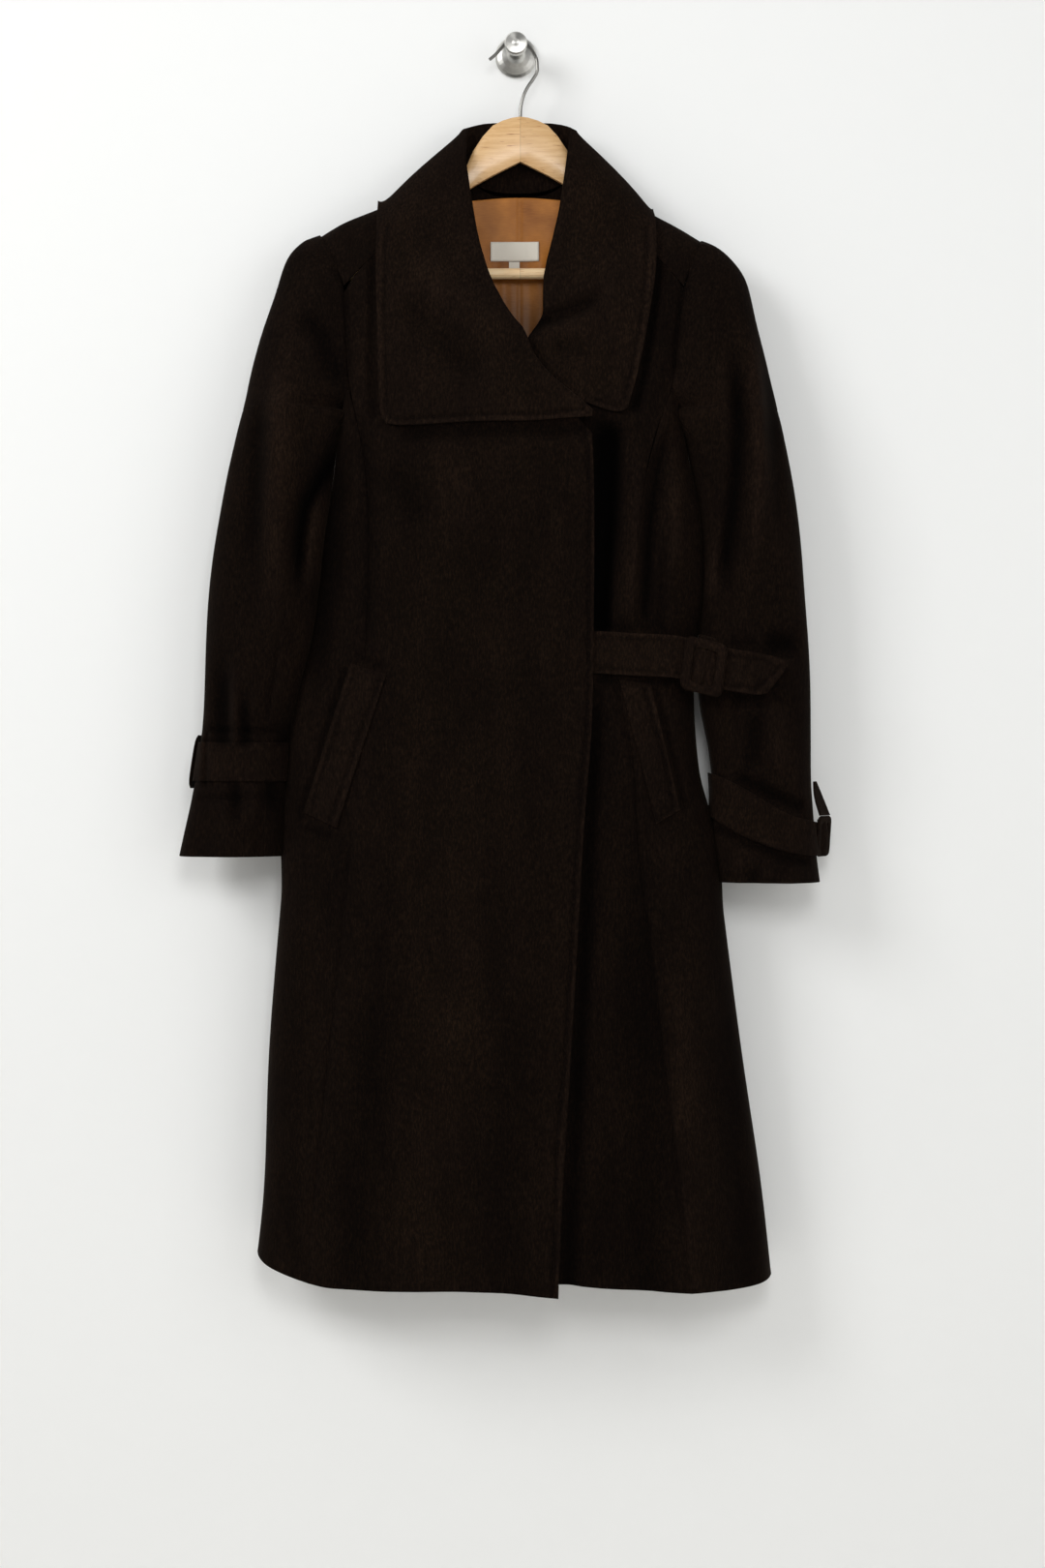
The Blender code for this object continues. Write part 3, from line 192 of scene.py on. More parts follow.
@dataclass(frozen=True)
class SatinLining:
    """Acetate satin, woven with long floats: it shines along the weft and creases sharply."""

    name: str = "acetate_satin"
    shade_hex: str = "7c4715"
    light_hex: str = "bd7a34"
    thread_mm: float = 0.9  # drawn coarser than the real 0.2 mm thread so that it shows
    thread_share: float = 0.25
    float_lie: float = 0.12  # a float is about eight times as long as the thread is thick
    crease_mm: float = 45.0
    deep_m: Point = (-0.29, -0.215)  # below the trouser bar, where it lies deep between the fronts, the colour is painted darker, down to 0.36 at the lower height: painted shade

    def make(self) -> bpy.types.Material:
        """Makes the material.

        Returns:
            A coppery satin with a faint weft rib, painted light and shade in crease-sized patches, and painted shade
            low down.
        """
        n = Nodes(self.name)
        across = n.add("Mapping", {"Scale": (self.float_lie, 1.0, 1.0), "Vector": n.place})
        rib = n.add("TexNoise", {"Scale": 1 / (self.thread_mm * MM), "Detail": 2.0, "Vector": across})
        # Crease-sized patches go from the shade colour to the light colour: painted light and shade of the creases.
        folds = n.add("TexNoise", {"Scale": 1 / (self.crease_mm * MM), "Detail": 3.0, "Vector": n.place})
        tone = n.add("Math", {"operation": "MULTIPLY_ADD", 0: rib, 1: self.thread_share, 2: folds})
        colour = n.add("ValToRGB", {"stops": ((0.35, self.shade_hex), (0.85, self.light_hex)), "Fac": tone})
        # Painted shade: the colour gets darker towards the bottom, below the trouser bar.
        height = n.add("SeparateXYZ", {"Vector": n.place}, "Z")
        painted_shade = n.add("MapRange", {"From Min": self.deep_m[0], "From Max": self.deep_m[1], "To Min": 0.36,
                                   "Value": height})
        colour = n.add("VectorMath", {"operation": "SCALE", 0: colour, "Scale": painted_shade})
        relief = n.add("Bump", {"Strength": 0.25, "Distance": 0.12 * MM, "Height": rib})
        return n.shade({"Roughness": 0.42, "Specular IOR Level": 0.16, "Base Color": colour, "Normal": relief})


@dataclass(frozen=True)
class WovenTape:
    """Polyester label tape, densely woven: flat, pale and slightly ribbed."""

    name: str = "woven_label_tape"
    light_hex: str = "e9e3d6"
    dark_hex: str = "cfc7b6"
    pick_mm: float = 0.7

    def make(self) -> bpy.types.Material:
        """Makes the material.

        Returns:
            A cream tape with fine crosswise ribs.
        """
        n = Nodes(self.name)
        ribs = n.add("TexWave", {"bands_direction": "Z", "Scale": WAVE_BAND / (self.pick_mm * MM), "Distortion": 0.6,
                                 "Vector": n.place}, "Fac")
        colour = n.add("ValToRGB", {"stops": ((0.0, self.dark_hex), (0.6, self.light_hex)), "Fac": ribs})
        relief = n.add("Bump", {"Strength": 0.3, "Distance": 0.1 * MM, "Height": ribs})
        return n.shade({"Roughness": 0.62, "Base Color": colour, "Normal": relief})


@dataclass(frozen=True)
class LacqueredBeech:
    """Beech, planed, sanded and clear lacquered: pale and straight grained, with short dark flecks."""

    name: str = "lacquered_beech"
    pale: str = "d9b27f"
    warm: str = "c69a63"
    fleck: str = "b08659"
    grain_mm: float = 2.6
    grain_lie: float = 0.09  # grain and flecks run eleven times as far along the wood as across it
    grain_tilt: float = 0.18  # radians
    fleck_mm: float = 1.4
    joint_mm: float = 4.5  # where the two halves of the hanger, cut from two boards, are glued together
    seam_mm: float = 0.35
    next_board: float = 7.3  # how far away in the noise the second board's grain is taken
    board_tone: float = -0.07
    seam_tone: float = -0.3

    def make(self) -> bpy.types.Material:
        """Makes the material.

        Returns:
            Pale wood with grain along X, flecks and a soft lacquer gloss.
        """
        n = Nodes(self.name)
        across = n.add("SeparateXYZ", {"Vector": n.place}, "X")
        half = n.add("Math", {"operation": "GREATER_THAN", 0: across, 1: self.joint_mm * MM})
        glue = n.add("Math", {"operation": "COMPARE", 0: across, 1: self.joint_mm * MM, 2: self.seam_mm * MM})
        board = n.add("Math", {"operation": "MULTIPLY", 0: half, 1: self.next_board})
        along = n.add("Mapping", {"Scale": (self.grain_lie, 1.0, 1.0), "Rotation": (0.0, self.grain_tilt, 0.0),
                                  "Vector": n.place})
        grain = n.add("TexNoise", {"noise_dimensions": "4D", "Scale": 1 / (self.grain_mm * MM), "Detail": 5.0,
                                   "Roughness": 0.6, "Distortion": 0.35, "Vector": along, "W": board})
        flecks = n.add("TexNoise", {"Scale": 1 / (self.fleck_mm * MM), "Detail": 1.0, "Vector": along})
        wood = n.add("ValToRGB", {"stops": ((0.3, self.warm), (0.62, self.pale)), "Fac": grain})
        marks = n.add("MapRange", {"From Min": 0.66, "From Max": 0.76, "Value": flecks})
        colour = n.add("Mix", {"data_type": "RGBA", "blend_type": "MULTIPLY", 0: marks, 6: wood,
                               7: linear(self.fleck)}, 2)
        dim = n.add("Math", {"operation": "MULTIPLY_ADD", 0: half, 1: self.board_tone, 2: 1.0})
        dim = n.add("Math", {"operation": "MULTIPLY_ADD", 0: glue, 1: self.seam_tone, 2: dim})
        toned = n.add("VectorMath", {"operation": "SCALE", 0: colour, "Scale": dim})
        relief = n.add("Bump", {"Strength": 0.18, "Distance": 0.15 * MM, "Height": grain})
        return n.shade({"Roughness": 0.42, "Coat Weight": 0.35, "Coat Roughness": 0.18, "Base Color": toned,
                        "Normal": relief})


class BrushMark(Enum):
    """How a steel surface was brushed."""

    # The fans are partly real anisotropic highlights and partly a painted highlight in the colour.
    ROUND = "turned on a lathe, so the marks are rings that shine as two fans"
    ALONG = "drawn, so the marks run along the wire"


@dataclass(frozen=True)
class BrushedSteel:
    """Stainless steel with fine brush marks."""

    name: str
    marks: BrushMark
    bright: str
    dull: str
    mark_mm: float = 0.35
    mark_lie: float = 0.1  # marks on the wire are ten times as long as they are wide
    # painted highlight fans on turned steel: how many, and where they lie
    fans: int = 2
    fan_turn: float = 0.6  # where they lie, radians

    def make(self) -> bpy.types.Material:
        """Makes the material.

        Returns:
            A satin metal whose marks follow its brushing.
        """
        n = Nodes(self.name)
        fine = 1 / (self.mark_mm * MM)
        turned = self.marks is BrushMark.ROUND
        if turned:
            flat = n.add("Mapping", {"Scale": (1.0, 0.0, 1.0), "Vector": n.place})
            reach = n.add("VectorMath", {"operation": "LENGTH", 0: flat}, "Value")
            scratch = n.add("TexNoise", {"noise_dimensions": "1D", "Scale": fine, "Detail": 3.0, "W": reach})
        else:
            along = n.add("Mapping", {"Scale": (1.0, 1.0, self.mark_lie), "Vector": n.place})
            scratch = n.add("TexNoise", {"Scale": fine, "Detail": 2.0, "Vector": along})
        colour = n.add("ValToRGB", {"stops": ((0.3, self.dull), (0.7, self.bright)), "Fac": scratch})
        relief = n.add("Bump", {"Strength": 0.35, "Distance": 0.06 * MM, "Height": scratch})
        rough = n.add("MapRange", {"To Min": 0.24, "To Max": 0.42, "Value": scratch})
        if turned:
            # Painted highlight: the colour is brightened in fans round the axis.
            facing = n.add("Mapping", {"Rotation": (math.radians(90), 0.0, 0.0), "Vector": n.place})
            turn = n.add("TexGradient", {"gradient_type": "RADIAL", "Vector": facing}, "Fac")
            wave = n.add("Math", {"operation": "MULTIPLY_ADD", 0: turn, 1: self.fans * math.tau, 2: self.fan_turn})
            fans = n.add("Math", {"operation": "SINE", 0: wave})
            painted_fan_highlight = n.add("MapRange", {"interpolation_type": "SMOOTHSTEP", "From Min": -1.0, "To Min": 0.6,
                                       "To Max": 1.08, "Value": fans})
            colour = n.add("VectorMath", {"operation": "SCALE", 0: colour, "Scale": painted_fan_highlight})
            n.shade({"Tangent": n.add("Tangent", {"direction_type": "RADIAL", "axis": "Y"})})
        return n.shade({"Metallic": 1.0, "Anisotropic": 0.85, "Base Color": colour, "Roughness": rough,
                        "Normal": relief})


@dataclass(frozen=True)
class SewingThread:
    """Polyester core-spun thread, twisted and matt, as dark as the cloth that it sinks into."""

    name: str = "sewing_thread"
    colour: str = "150e0a"
    # painted shade: the darker colour between the twisted strands
    groove: str = "0a0604"
    twist_mm: float = 0.45

    def make(self) -> bpy.types.Material:
        """Makes the material.

        Returns:
            A dark brown thread with its twist as fine ribs, and painted shade between them.
        """
        n = Nodes(self.name)
        twist = n.add("TexWave", {"bands_direction": "DIAGONAL", "Scale": WAVE_BAND / (self.twist_mm * MM),
                                  "Vector": n.place}, "Fac")
        colour = n.add("ValToRGB", {"stops": ((0.0, self.groove), (1.0, self.colour)), "Fac": twist})
        return n.shade({"Roughness": 0.9, "Specular IOR Level": 0.05, "Base Color": colour})


# ------------------------------------------------------------------------------------------------- folds and stitches

RIM = 3.6  # mm; a face that is narrower than this is part of a cut edge
RIM_TURN, CORNER_TURN = 50, 25  # degrees between faces past which cloth turns into its edge, and an edge has a corner
WELD = 1e-6  # m
WHOLE = (0.0, 0.0)  # ends of a fold that is as high at its first and last point as in between
QUICK = (0.1, 0.1)  # ends of a fold that comes up at once


def ease(t: np.ndarray) -> np.ndarray:
    """Goes from 0 to 1 with a level start and end.

    Args:
        t: values, of which those outside 0 to 1 are held.

    Returns:
        The eased values.
    """
    held = np.clip(t, 0.0, 1.0)
    return held * held * (3 - 2 * held)


def measure(line: Sequence[Point]) -> tuple[np.ndarray, np.ndarray, np.ndarray, np.ndarray]:
    """Measures a line.

    Args:
        line: its points.

    Returns:
        The points, the steps between them, the lengths of the steps, and the length of line before each point.
    """
    marks = np.array(line, float)
    steps = np.diff(marks, axis=0)
    spans = np.hypot(*steps.T)
    return marks, steps, spans, np.concatenate([[0.0], np.cumsum(spans)])


def beside(line: Sequence[Point], by: float) -> tuple[Point, ...]:
    """Moves a line sideways.

    Args:
        line: its points.
        by: how far, to the left of its way above zero.

    Returns:
        The moved line.
    """
    marks = np.array(line, float)
    ways = np.gradient(marks, axis=0)
    ways /= np.hypot(*ways.T)[:, None]
    return tuple(map(tuple, marks + by * np.column_stack([-ways[:, 1], ways[:, 0]])))


def points_of(mesh: bpy.types.Mesh) -> np.ndarray:
    """Reads a mesh's points as rows of x, y and z in metres."""
    points = np.empty(len(mesh.vertices) * 3)
    mesh.vertices.foreach_get("co", points)
    return points.reshape(-1, 3)


def put_back(mesh: bpy.types.Mesh, points: np.ndarray) -> None:
    """Writes a mesh's points, rows of x, y and z in metres."""
    mesh.vertices.foreach_set("co", points.ravel())
    mesh.update()


def rub(mesh: bpy.types.Mesh, amount: np.ndarray | float) -> None:
    """Adds to the painted light and shade that scales the wool's colour: above zero painted lighter, as on ridges,
    below zero painted darker, as in folds.

    Args:
        mesh: the mesh that carries it.
        amount: one value for each point or for all, about -6 to 6.
    """
    layer = mesh.attributes.get("rubbed") or mesh.attributes.new("rubbed", "FLOAT", "POINT")
    held = np.empty(len(mesh.vertices), dtype=np.float32)
    layer.data.foreach_get("value", held)
    layer.data.foreach_set("value", (held.astype(float) + amount).astype(np.float32))


@dataclass(frozen=True)
class Fold:
    """A fold placed along a line: a ridge, or a valley where its height is below zero."""

    line: tuple[Point, ...]
    height: float
    width: float
    ends: Point = (0.25, 0.25)  # share of its length over which it comes up, at its first and its last point
    lean: float = 0.0  # from -1 to 1: above zero it is broader to the right of its line
    soft: float = 1.0  # 1 is round and 0 a sharp crease

    def rise(self, x: np.ndarray, z: np.ndarray) -> np.ndarray:
        """Works out how far it lifts the cloth.

        Args:
            x: places across, mm.
            z: places up, mm.

        Returns:
            Lift away from the wall, mm.
        """
        marks, steps, spans, before = measure(self.line)
        nearest = np.full(x.shape, np.inf)
        side = np.zeros(x.shape)
        along = np.zeros(x.shape)
        for mark, step, span, start in zip(marks, steps, spans, before):
            t = np.clip(((x - mark[0]) * step[0] + (z - mark[1]) * step[1]) / span**2, 0.0, 1.0)
            away_x, away_z = x - mark[0] - t * step[0], z - mark[1] - t * step[1]
            away = np.hypot(away_x, away_z)
            closer = away < nearest
            nearest = np.where(closer, away, nearest)
            side = np.where(closer, away_z * step[0] - away_x * step[1], side)
            along = np.where(closer, (start + t * span) / before[-1], along)
        # A line that runs down the cloth has the right-hand side where this product is above zero.
        reach = self.width * np.where(side > 0, 1 + self.lean, 1 - self.lean)
        t = np.clip(nearest / reach, 0.0, 1.0)
        profile = (1 - t) ** 2 * (1 + 2 * self.soft * t)
        for share, distance in zip(self.ends, (along, 1 - along)):
            if share > 0:
                profile = profile * ease(distance / share)
        return self.height * profile


@dataclass(frozen=True)
class Drape:
    """The folds that pieces hanging together share, so that their seams stay closed."""

    folds: tuple[Fold, ...] = ()
    fades: Point = (45.0, 70.0)  # mm out from the wall at which the folds begin and are full
    towards_wall: bool = False  # the folds of a back fade the other way
    gain: float = 1.0

    def lift(self, points: np.ndarray) -> np.ndarray:
        """Works out the lift of each point.

        Args:
            points: rows of x, y and z in metres.

        Returns:
            Distances away from the wall, mm.
        """
        x, out, z = points[:, 0] / MM, -points[:, 1] / MM, points[:, 2] / MM
        total = sum((fold.rise(x, z) for fold in self.folds), np.zeros(len(points)))
        share = ease((out - self.fades[0]) / (self.fades[1] - self.fades[0]))
        return total * self.gain * (1 - share if self.towards_wall else share)

    def hang(self, mesh: bpy.types.Mesh) -> None:
        """Moves a mesh's points out by their lift, and adds the lift to their painted light and shade: painted
        highlight on ridges, painted shade in folds.

        Args:
            mesh: the mesh that is changed.
        """
        points = points_of(mesh)
        lift = self.lift(points)
        points[:, 1] -= lift * MM
        put_back(mesh, points)
        rub(mesh, lift)


def finished(bm: bmesh.types.BMesh, name: str, material: bpy.types.Material, rides: bool = True) -> bpy.types.Object:
    """Turns a bmesh into an object of the scene.

    Args:
        bm: the shape, which is freed.
        name: the object's name.
        material: its finish.
        rides: whether it is a smooth piece that rides on the coat; otherwise it is part of the stage.

    Returns:
        The object.
    """
    mesh = bpy.data.meshes.new(name)
    bm.to_mesh(mesh)
    bm.free()
    mesh.materials.append(material)
    thing = bpy.data.objects.new(name, mesh)
    bpy.context.scene.collection.objects.link(thing)
    if rides:
        mesh.shade_smooth()
        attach(thing, ROOT)
    return thing


def told(piece: bpy.types.Object) -> None:
    """Logs a piece that is done."""
    LOG.info("%s: %d faces", piece.name, len(piece.data.polygons))


def on_rim(face: bmesh.types.BMFace) -> bool:
    """Tells whether a face is part of a cut edge, which is as narrow as the cloth is thick."""
    return min(line.calc_length() for line in face.edges) < RIM * MM


def merged(node: str) -> bmesh.types.BMesh:
    """Copies a solid's loose triangles and merges their points."""
    bm = bmesh.new()
    bm.from_mesh(frame["nodes"][node].data)
    bmesh.ops.remove_doubles(bm, verts=bm.verts, dist=WELD)
    return bm


def cage_of(node: str) -> bmesh.types.BMesh:
    """Joins a solid's triangles to a coarse cage.

    Args:
        node: the CAD node's name.

    Returns:
        The cage.
    """
    bm = merged(node)
    bmesh.ops.join_triangles(bm, faces=bm.faces, angle_face_threshold=0.9, angle_shape_threshold=1.2)
    return bm


@dataclass(frozen=True)
class Seam:
    """Two pieces whose cages are drawn together where they meet, as sewing draws the real ones, on both sides."""

    one: str  # with {} for right or left
    other: str
    reach: Point = (1.6, 1.6)  # mm, right and left
    low: Point = (-2000.0, -2000.0)
    high: float = 2000.0
    edges_only: bool = True
    share: float = 0.5

    def close(self, cages: dict[str, bmesh.types.BMesh]) -> None:
        """Moves the points of both pieces towards each other.

        Args:
            cages: the coarse pieces by node.
        """
        for side, reach, low in zip(("right", "left"), self.reach, self.low):
            pair = (self.one.format(side), self.other.format(side))
            moves = []
            for mine, theirs in (pair, pair[::-1]):
                tree = BVHTree.FromBMesh(cages[theirs])
                for point in cages[mine].verts:
                    if not low <= point.co.z / MM <= self.high:
                        continue
                    if self.edges_only and not any(on_rim(face) for face in point.link_faces):
                        continue
                    spot = tree.find_nearest(point.co, reach * MM)[0]
                    if spot is not None:
                        moves.append((point, (spot - point.co) * self.share))
            for point, move in moves:
                point.co += move


def cloth_on(node: str, bm: bmesh.types.BMesh, levels: int, edge: float,
             material: bpy.types.Material) -> bpy.types.Object:
    """Makes a fine cloth piece from a coarse cage by dividing and smoothing its faces.

    Args:
        node: the CAD node that it replaces.
        bm: its cage, which is freed.
        levels: how often each face is divided.
        edge: how sharp the cut edges stay, from 0 to 1; at 1 nothing is smoothed. Corners stay sharp.
        material: its finish.

    Returns:
        The cloth piece.
    """
    sharp = bm.edges.layers.float.new("crease_edge")
    corner = bm.verts.layers.float.new("crease_vert")
    rims = {face for face in bm.faces if on_rim(face)}
    for line in bm.edges:
        if len(line.link_faces) != 2:
            continue
        turn = math.degrees(line.calc_face_angle())
        thin = sum(face in rims for face in line.link_faces)
        if thin == 1 and turn > RIM_TURN:
            line[sharp] = edge
        elif thin == 2 and turn > CORNER_TURN:
            line[sharp] = 1.0
            for point in line.verts:
                point[corner] = 1.0
    piece = finished(bm, node + "_cloth", material)
    divide = piece.modifiers.new("divide", "SUBSURF")
    divide.levels = divide.render_levels = levels
    divide.subdivision_type = "SIMPLE" if edge >= 1 else "CATMULL_CLARK"
    graph = bpy.context.evaluated_depsgraph_get()
    fine = bpy.data.meshes.new_from_object(piece.evaluated_get(graph))
    piece.modifiers.clear()
    coarse = piece.data
    piece.data = fine
    bpy.data.meshes.remove(coarse)
    fine.name = piece.name
    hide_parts(node)
    return piece


@dataclass(frozen=True)
class Cut:
    """A cloth piece as it was cut."""

    node: str
    flat: Point  # m
    area: float  # square metres
    rests_on: tuple[str, ...]
    levels: int = 3
    held: str = "hung"
    edge: float = 0.5
    own: tuple[Fold, ...] = ()  # folds that stop at its edges
    nap: float = 0.0  # painted light for the whole piece: above zero it is painted lighter, below zero darker


@dataclass(frozen=True)
class Pull:
    """A place where cloth is drawn aside, with everything around it."""

    nodes: tuple[str, ...]
    place: Place  # x, out and z, mm
    move: Place
    reach: float

    def draw(self, made: dict[str, bpy.types.Object]) -> None:
        """Moves the points near its place, the nearest the most.

        Args:
            made: the cloth pieces by node.
        """
        middle = np.array((self.place[0], -self.place[1], self.place[2])) * MM
        move = np.array((self.move[0], -self.move[1], self.move[2])) * MM
        for node in self.nodes:
            mesh = made[node].data
            points = points_of(mesh)
            share = ease(1 - np.linalg.norm(points - middle, axis=1) / (self.reach * MM))
            put_back(mesh, points + share[:, None] * move)


@dataclass
class Sewn:
    """Cloth pieces that hang together and share their folds."""

    cages: dict[str, bmesh.types.BMesh]
    made: dict[str, bpy.types.Object]
    cuts: tuple[Cut, ...]
    drape: Drape
    finish: bpy.types.Material
    pulls: tuple[Pull, ...] = ()

    def build(self) -> None:
        """Makes the pieces."""
        for cut in self.cuts:
            self.made[cut.node] = cloth_on(cut.node, self.cages[cut.node], cut.levels, cut.edge, self.finish)

    def dress(self) -> None:
        """Folds the pieces, paints their light and shade, and logs them."""
        for pull in self.pulls:
            pull.draw(self.made)
        for cut in self.cuts:
            piece = self.made[cut.node]
            self.drape.hang(piece.data)
            Drape(cut.own, self.drape.fades).hang(piece.data)
            # The whole piece is painted lighter or darker as a whole: painted light and shade.
            rub(piece.data, cut.nap)
            told(piece)


@dataclass(frozen=True)
class Row:
    """A row of stitches along a line on the front of a piece."""

    name: str
    on: str
    line: tuple[Point, ...]
    out: float = 4.0  # mm to the rolled edge, which gets a painted highlight, to the left of the line's way above zero


@dataclass
class Stitching:
    """Lockstitch rows that hold the edges down, each stitch sunk a little into the nap."""

    rows: tuple[Row, ...]
    thread: bpy.types.Material
    made: dict[str, bpy.types.Object]
    pitch: float = 4.2
    length: float = 3.1
    thick: float = 0.7
    bed: float = 0.08  # how deep the middle of a stitch lies under the cloth's face
    sink: float = 0.9  # depth of the groove
    groove_wide: float = 4.5
    edge_wide: float = 3.6
    # How much painted highlight the rolled edge gets, and how much painted shade the groove gets.
    glint: float = 4.0
    dark: float = 3.0
    turned_away: float = -0.2  # a face whose normal's y is above this doesn't face the front

    def along(self, line: tuple[Point, ...]) -> Iterator[tuple[np.ndarray, np.ndarray]]:
        """Steps along a line.

        Args:
            line: x and z of its points.

        Yields:
            The middle of each stitch and its direction.
        """
        marks, steps, spans, before = measure(line)
        for place in np.arange(self.pitch, before[-1] - self.pitch / 2, self.pitch):
            i = min(int(np.searchsorted(before, place, side="right")) - 1, len(spans) - 1)
            way = steps[i] / spans[i]
            yield marks[i] + way * (place - before[i]), way

    def sew(self, row: Row) -> None:
        """Lays one row on its piece.

        Args:
            row: the row.
        """
        on = self.made[row.on].data
        tree = BVHTree.FromPolygons([v.co for v in on.vertices], [p.vertices for p in on.polygons])
        bm = bmesh.new()
        size = Matrix.Diagonal((self.length * MM / 2, self.thick * MM / 2, self.thick * MM / 2, 1))
        for (x, z), (way_x, way_z) in self.along(row.line):
            spot, normal, _, _ = tree.ray_cast(Vector((x * MM, -1.0, z * MM)), Vector((0, 1, 0)))
            if spot is None or normal.y > self.turned_away:
                continue
            way = Vector((way_x, 0.0, way_z))
            way = (way - normal * way.dot(normal)).normalized()
            turn = Matrix((way, normal.cross(way), normal)).transposed().to_4x4()
            bmesh.ops.create_uvsphere(bm, u_segments=6, v_segments=4, radius=1.0,
                                      matrix=Matrix.Translation(spot - normal * self.bed * MM) @ turn @ size)
        laid = finished(bm, row.name, self.thread)
        told(laid)

    def groove(self, row: Row) -> None:
        """Draws a shallow groove under a row, with painted shade in it, and paints a highlight on the rolled edge
        beside it.

        Args:
            row: the row.
        """
        mesh = self.made[row.on].data
        groove = Fold(row.line, -self.sink, self.groove_wide, WHOLE)
        rolled = Fold(beside(row.line, row.out), 1.0, self.edge_wide, WHOLE)
        points = points_of(mesh)
        x, z = points[:, 0] / MM, points[:, 2] / MM
        Drape((groove,), fades=(0.0, 1.0)).hang(mesh)
        rub(mesh, self.glint * rolled.rise(x, z) + self.dark * groove.rise(x, z))

    def dress(self) -> None:
        """Draws all the grooves, and then lays the stitches in them."""
        for row in self.rows:
            self.groove(row)
        for row in self.rows:
            self.sew(row)


# ---------------------------------------------------------------------------------------------------- sub-assemblies


@dataclass
class HangerAndKnob:
    """The beech hanger on its wire hook, and the steel knob that it hangs on. Their solids have their real shapes."""

    beech: bpy.types.Material
    # the bar's beech, a lighter copy of the arms': painted light
    bar: bpy.types.Material
    wire: bpy.types.Material
    turned: bpy.types.Material
    arm_bevel: float = 0.9  # mm, the eased arris of planed wood
    arris_turn: float = 40  # degrees past which an edge is an arris

    def build(self) -> None:
        """Makes the arms again, with eased edges."""
        bm = merged("hanger")
        edges = [e for e in bm.edges if len(e.link_faces) == 2 and e.calc_face_angle() > math.radians(self.arris_turn)]
        bmesh.ops.bevel(bm, geom=edges, offset=self.arm_bevel * MM, offset_type="OFFSET", segments=3, profile=0.5,
                        affect="EDGES", clamp_overlap=True, material=-1)
        arms = finished(bm, "hanger_arms", self.beech)
        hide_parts("hanger")
        told(arms)

    def dress(self) -> None:
        """Gives the solids that stay their finishes."""
        for node, material in (("hanger_bar", self.bar), ("hanger_hook", self.wire), ("knob", self.turned)):
            for place in frame["nodes"][node].material_slots:
                place.material = material
            LOG.info("%s: carried over", node)


def covered(node: str, cage: bmesh.types.BMesh, finish: bpy.types.Material, nap: float) -> None:
    """Makes a stiff frame or bar that is covered with cloth.

    Args:
        node: the CAD node that it replaces.
        cage: its coarse shape, which is freed.
        finish: the cloth.
        nap: how much lighter, above zero, or darker, below zero, the whole piece is painted.
    """
    piece = cloth_on(node, cage, levels=2, edge=0.3, material=finish)
    rub(piece.data, nap)
    told(piece)


def puffed(name: str, parts: int, shape: Callable[[float, float], Place], finish: bpy.types.Material,
           nap: float, thick: float = 1.5) -> None:
    """Makes a small patch of cloth that bulges through a frame.

    Args:
        name: the piece's name.
        parts: how many faces it has along each side.
        shape: gives x, y and z in mm for a place on the patch, each way from -0.5 to 0.5.
        finish: the cloth.
        nap: how much lighter, above zero, or darker, below zero, the whole piece is painted.
        thick: of the cloth, mm.
    """
    bm = bmesh.new()
    bmesh.ops.create_grid(bm, x_segments=parts, y_segments=parts, size=0.5)
    for point in bm.verts:
        point.co = Vector(shape(point.co.x, point.co.y)) * MM
    bmesh.ops.solidify(bm, geom=bm.faces[:], thickness=thick * MM)
    bmesh.ops.recalc_face_normals(bm, faces=bm.faces)
    piece = finished(bm, name, finish)
    rub(piece.data, nap)
    told(piece)


@dataclass
class Buckle:
    """The cloth-covered buckle, its bar, and the belt where it comes up over the bar."""

    finish: bpy.types.Material
    middle: Place = (185.0, 107.2, -635.5)  # x, out and z, mm
    size: Point = (34.0, 41.0)
    crown: float = 3.2  # mm that the belt stands up over the bar
    flatter: float = 0.25  # share of the crown that is lost at the belt's edges
    slope: float = -0.24  # fall of the belt from left to right
    steeper: float = -0.10  # how much more the frame is turned than its solid
    taller: float = 1.06
    # painted light: the covered buckle and the belt in it are painted lighter as a whole
    nap: float = 4.0

    def build(self) -> None:
        """Makes the covered frame and bar, the frame turned a little further with the belt."""
        for node in ("buckle", "buckle_bar"):
            cage = cage_of(node)
            middle = self.middle[2] * MM
            for point in cage.verts:
                point.co.z = (middle + (point.co.z - middle) * self.taller
                              + self.steeper * (point.co.x - self.middle[0] * MM))
            covered(node, cage, self.finish, self.nap)

    def over_bar(self, u: float, v: float) -> Place:
        """Gives the belt's place inside the frame, for a place on its patch."""
        out = self.middle[1] + self.crown * (1 - ease(abs(2 * u))) * (1 - self.flatter * (2 * v)**2)
        return (self.middle[0] + u * self.size[0], -out,
                self.middle[2] + (v * self.size[1] + self.slope * u * self.size[0]))

    def dress(self) -> None:
        """Lays the belt over the bar."""
        puffed("belt_over_bar", 24, self.over_bar, self.finish, self.nap)


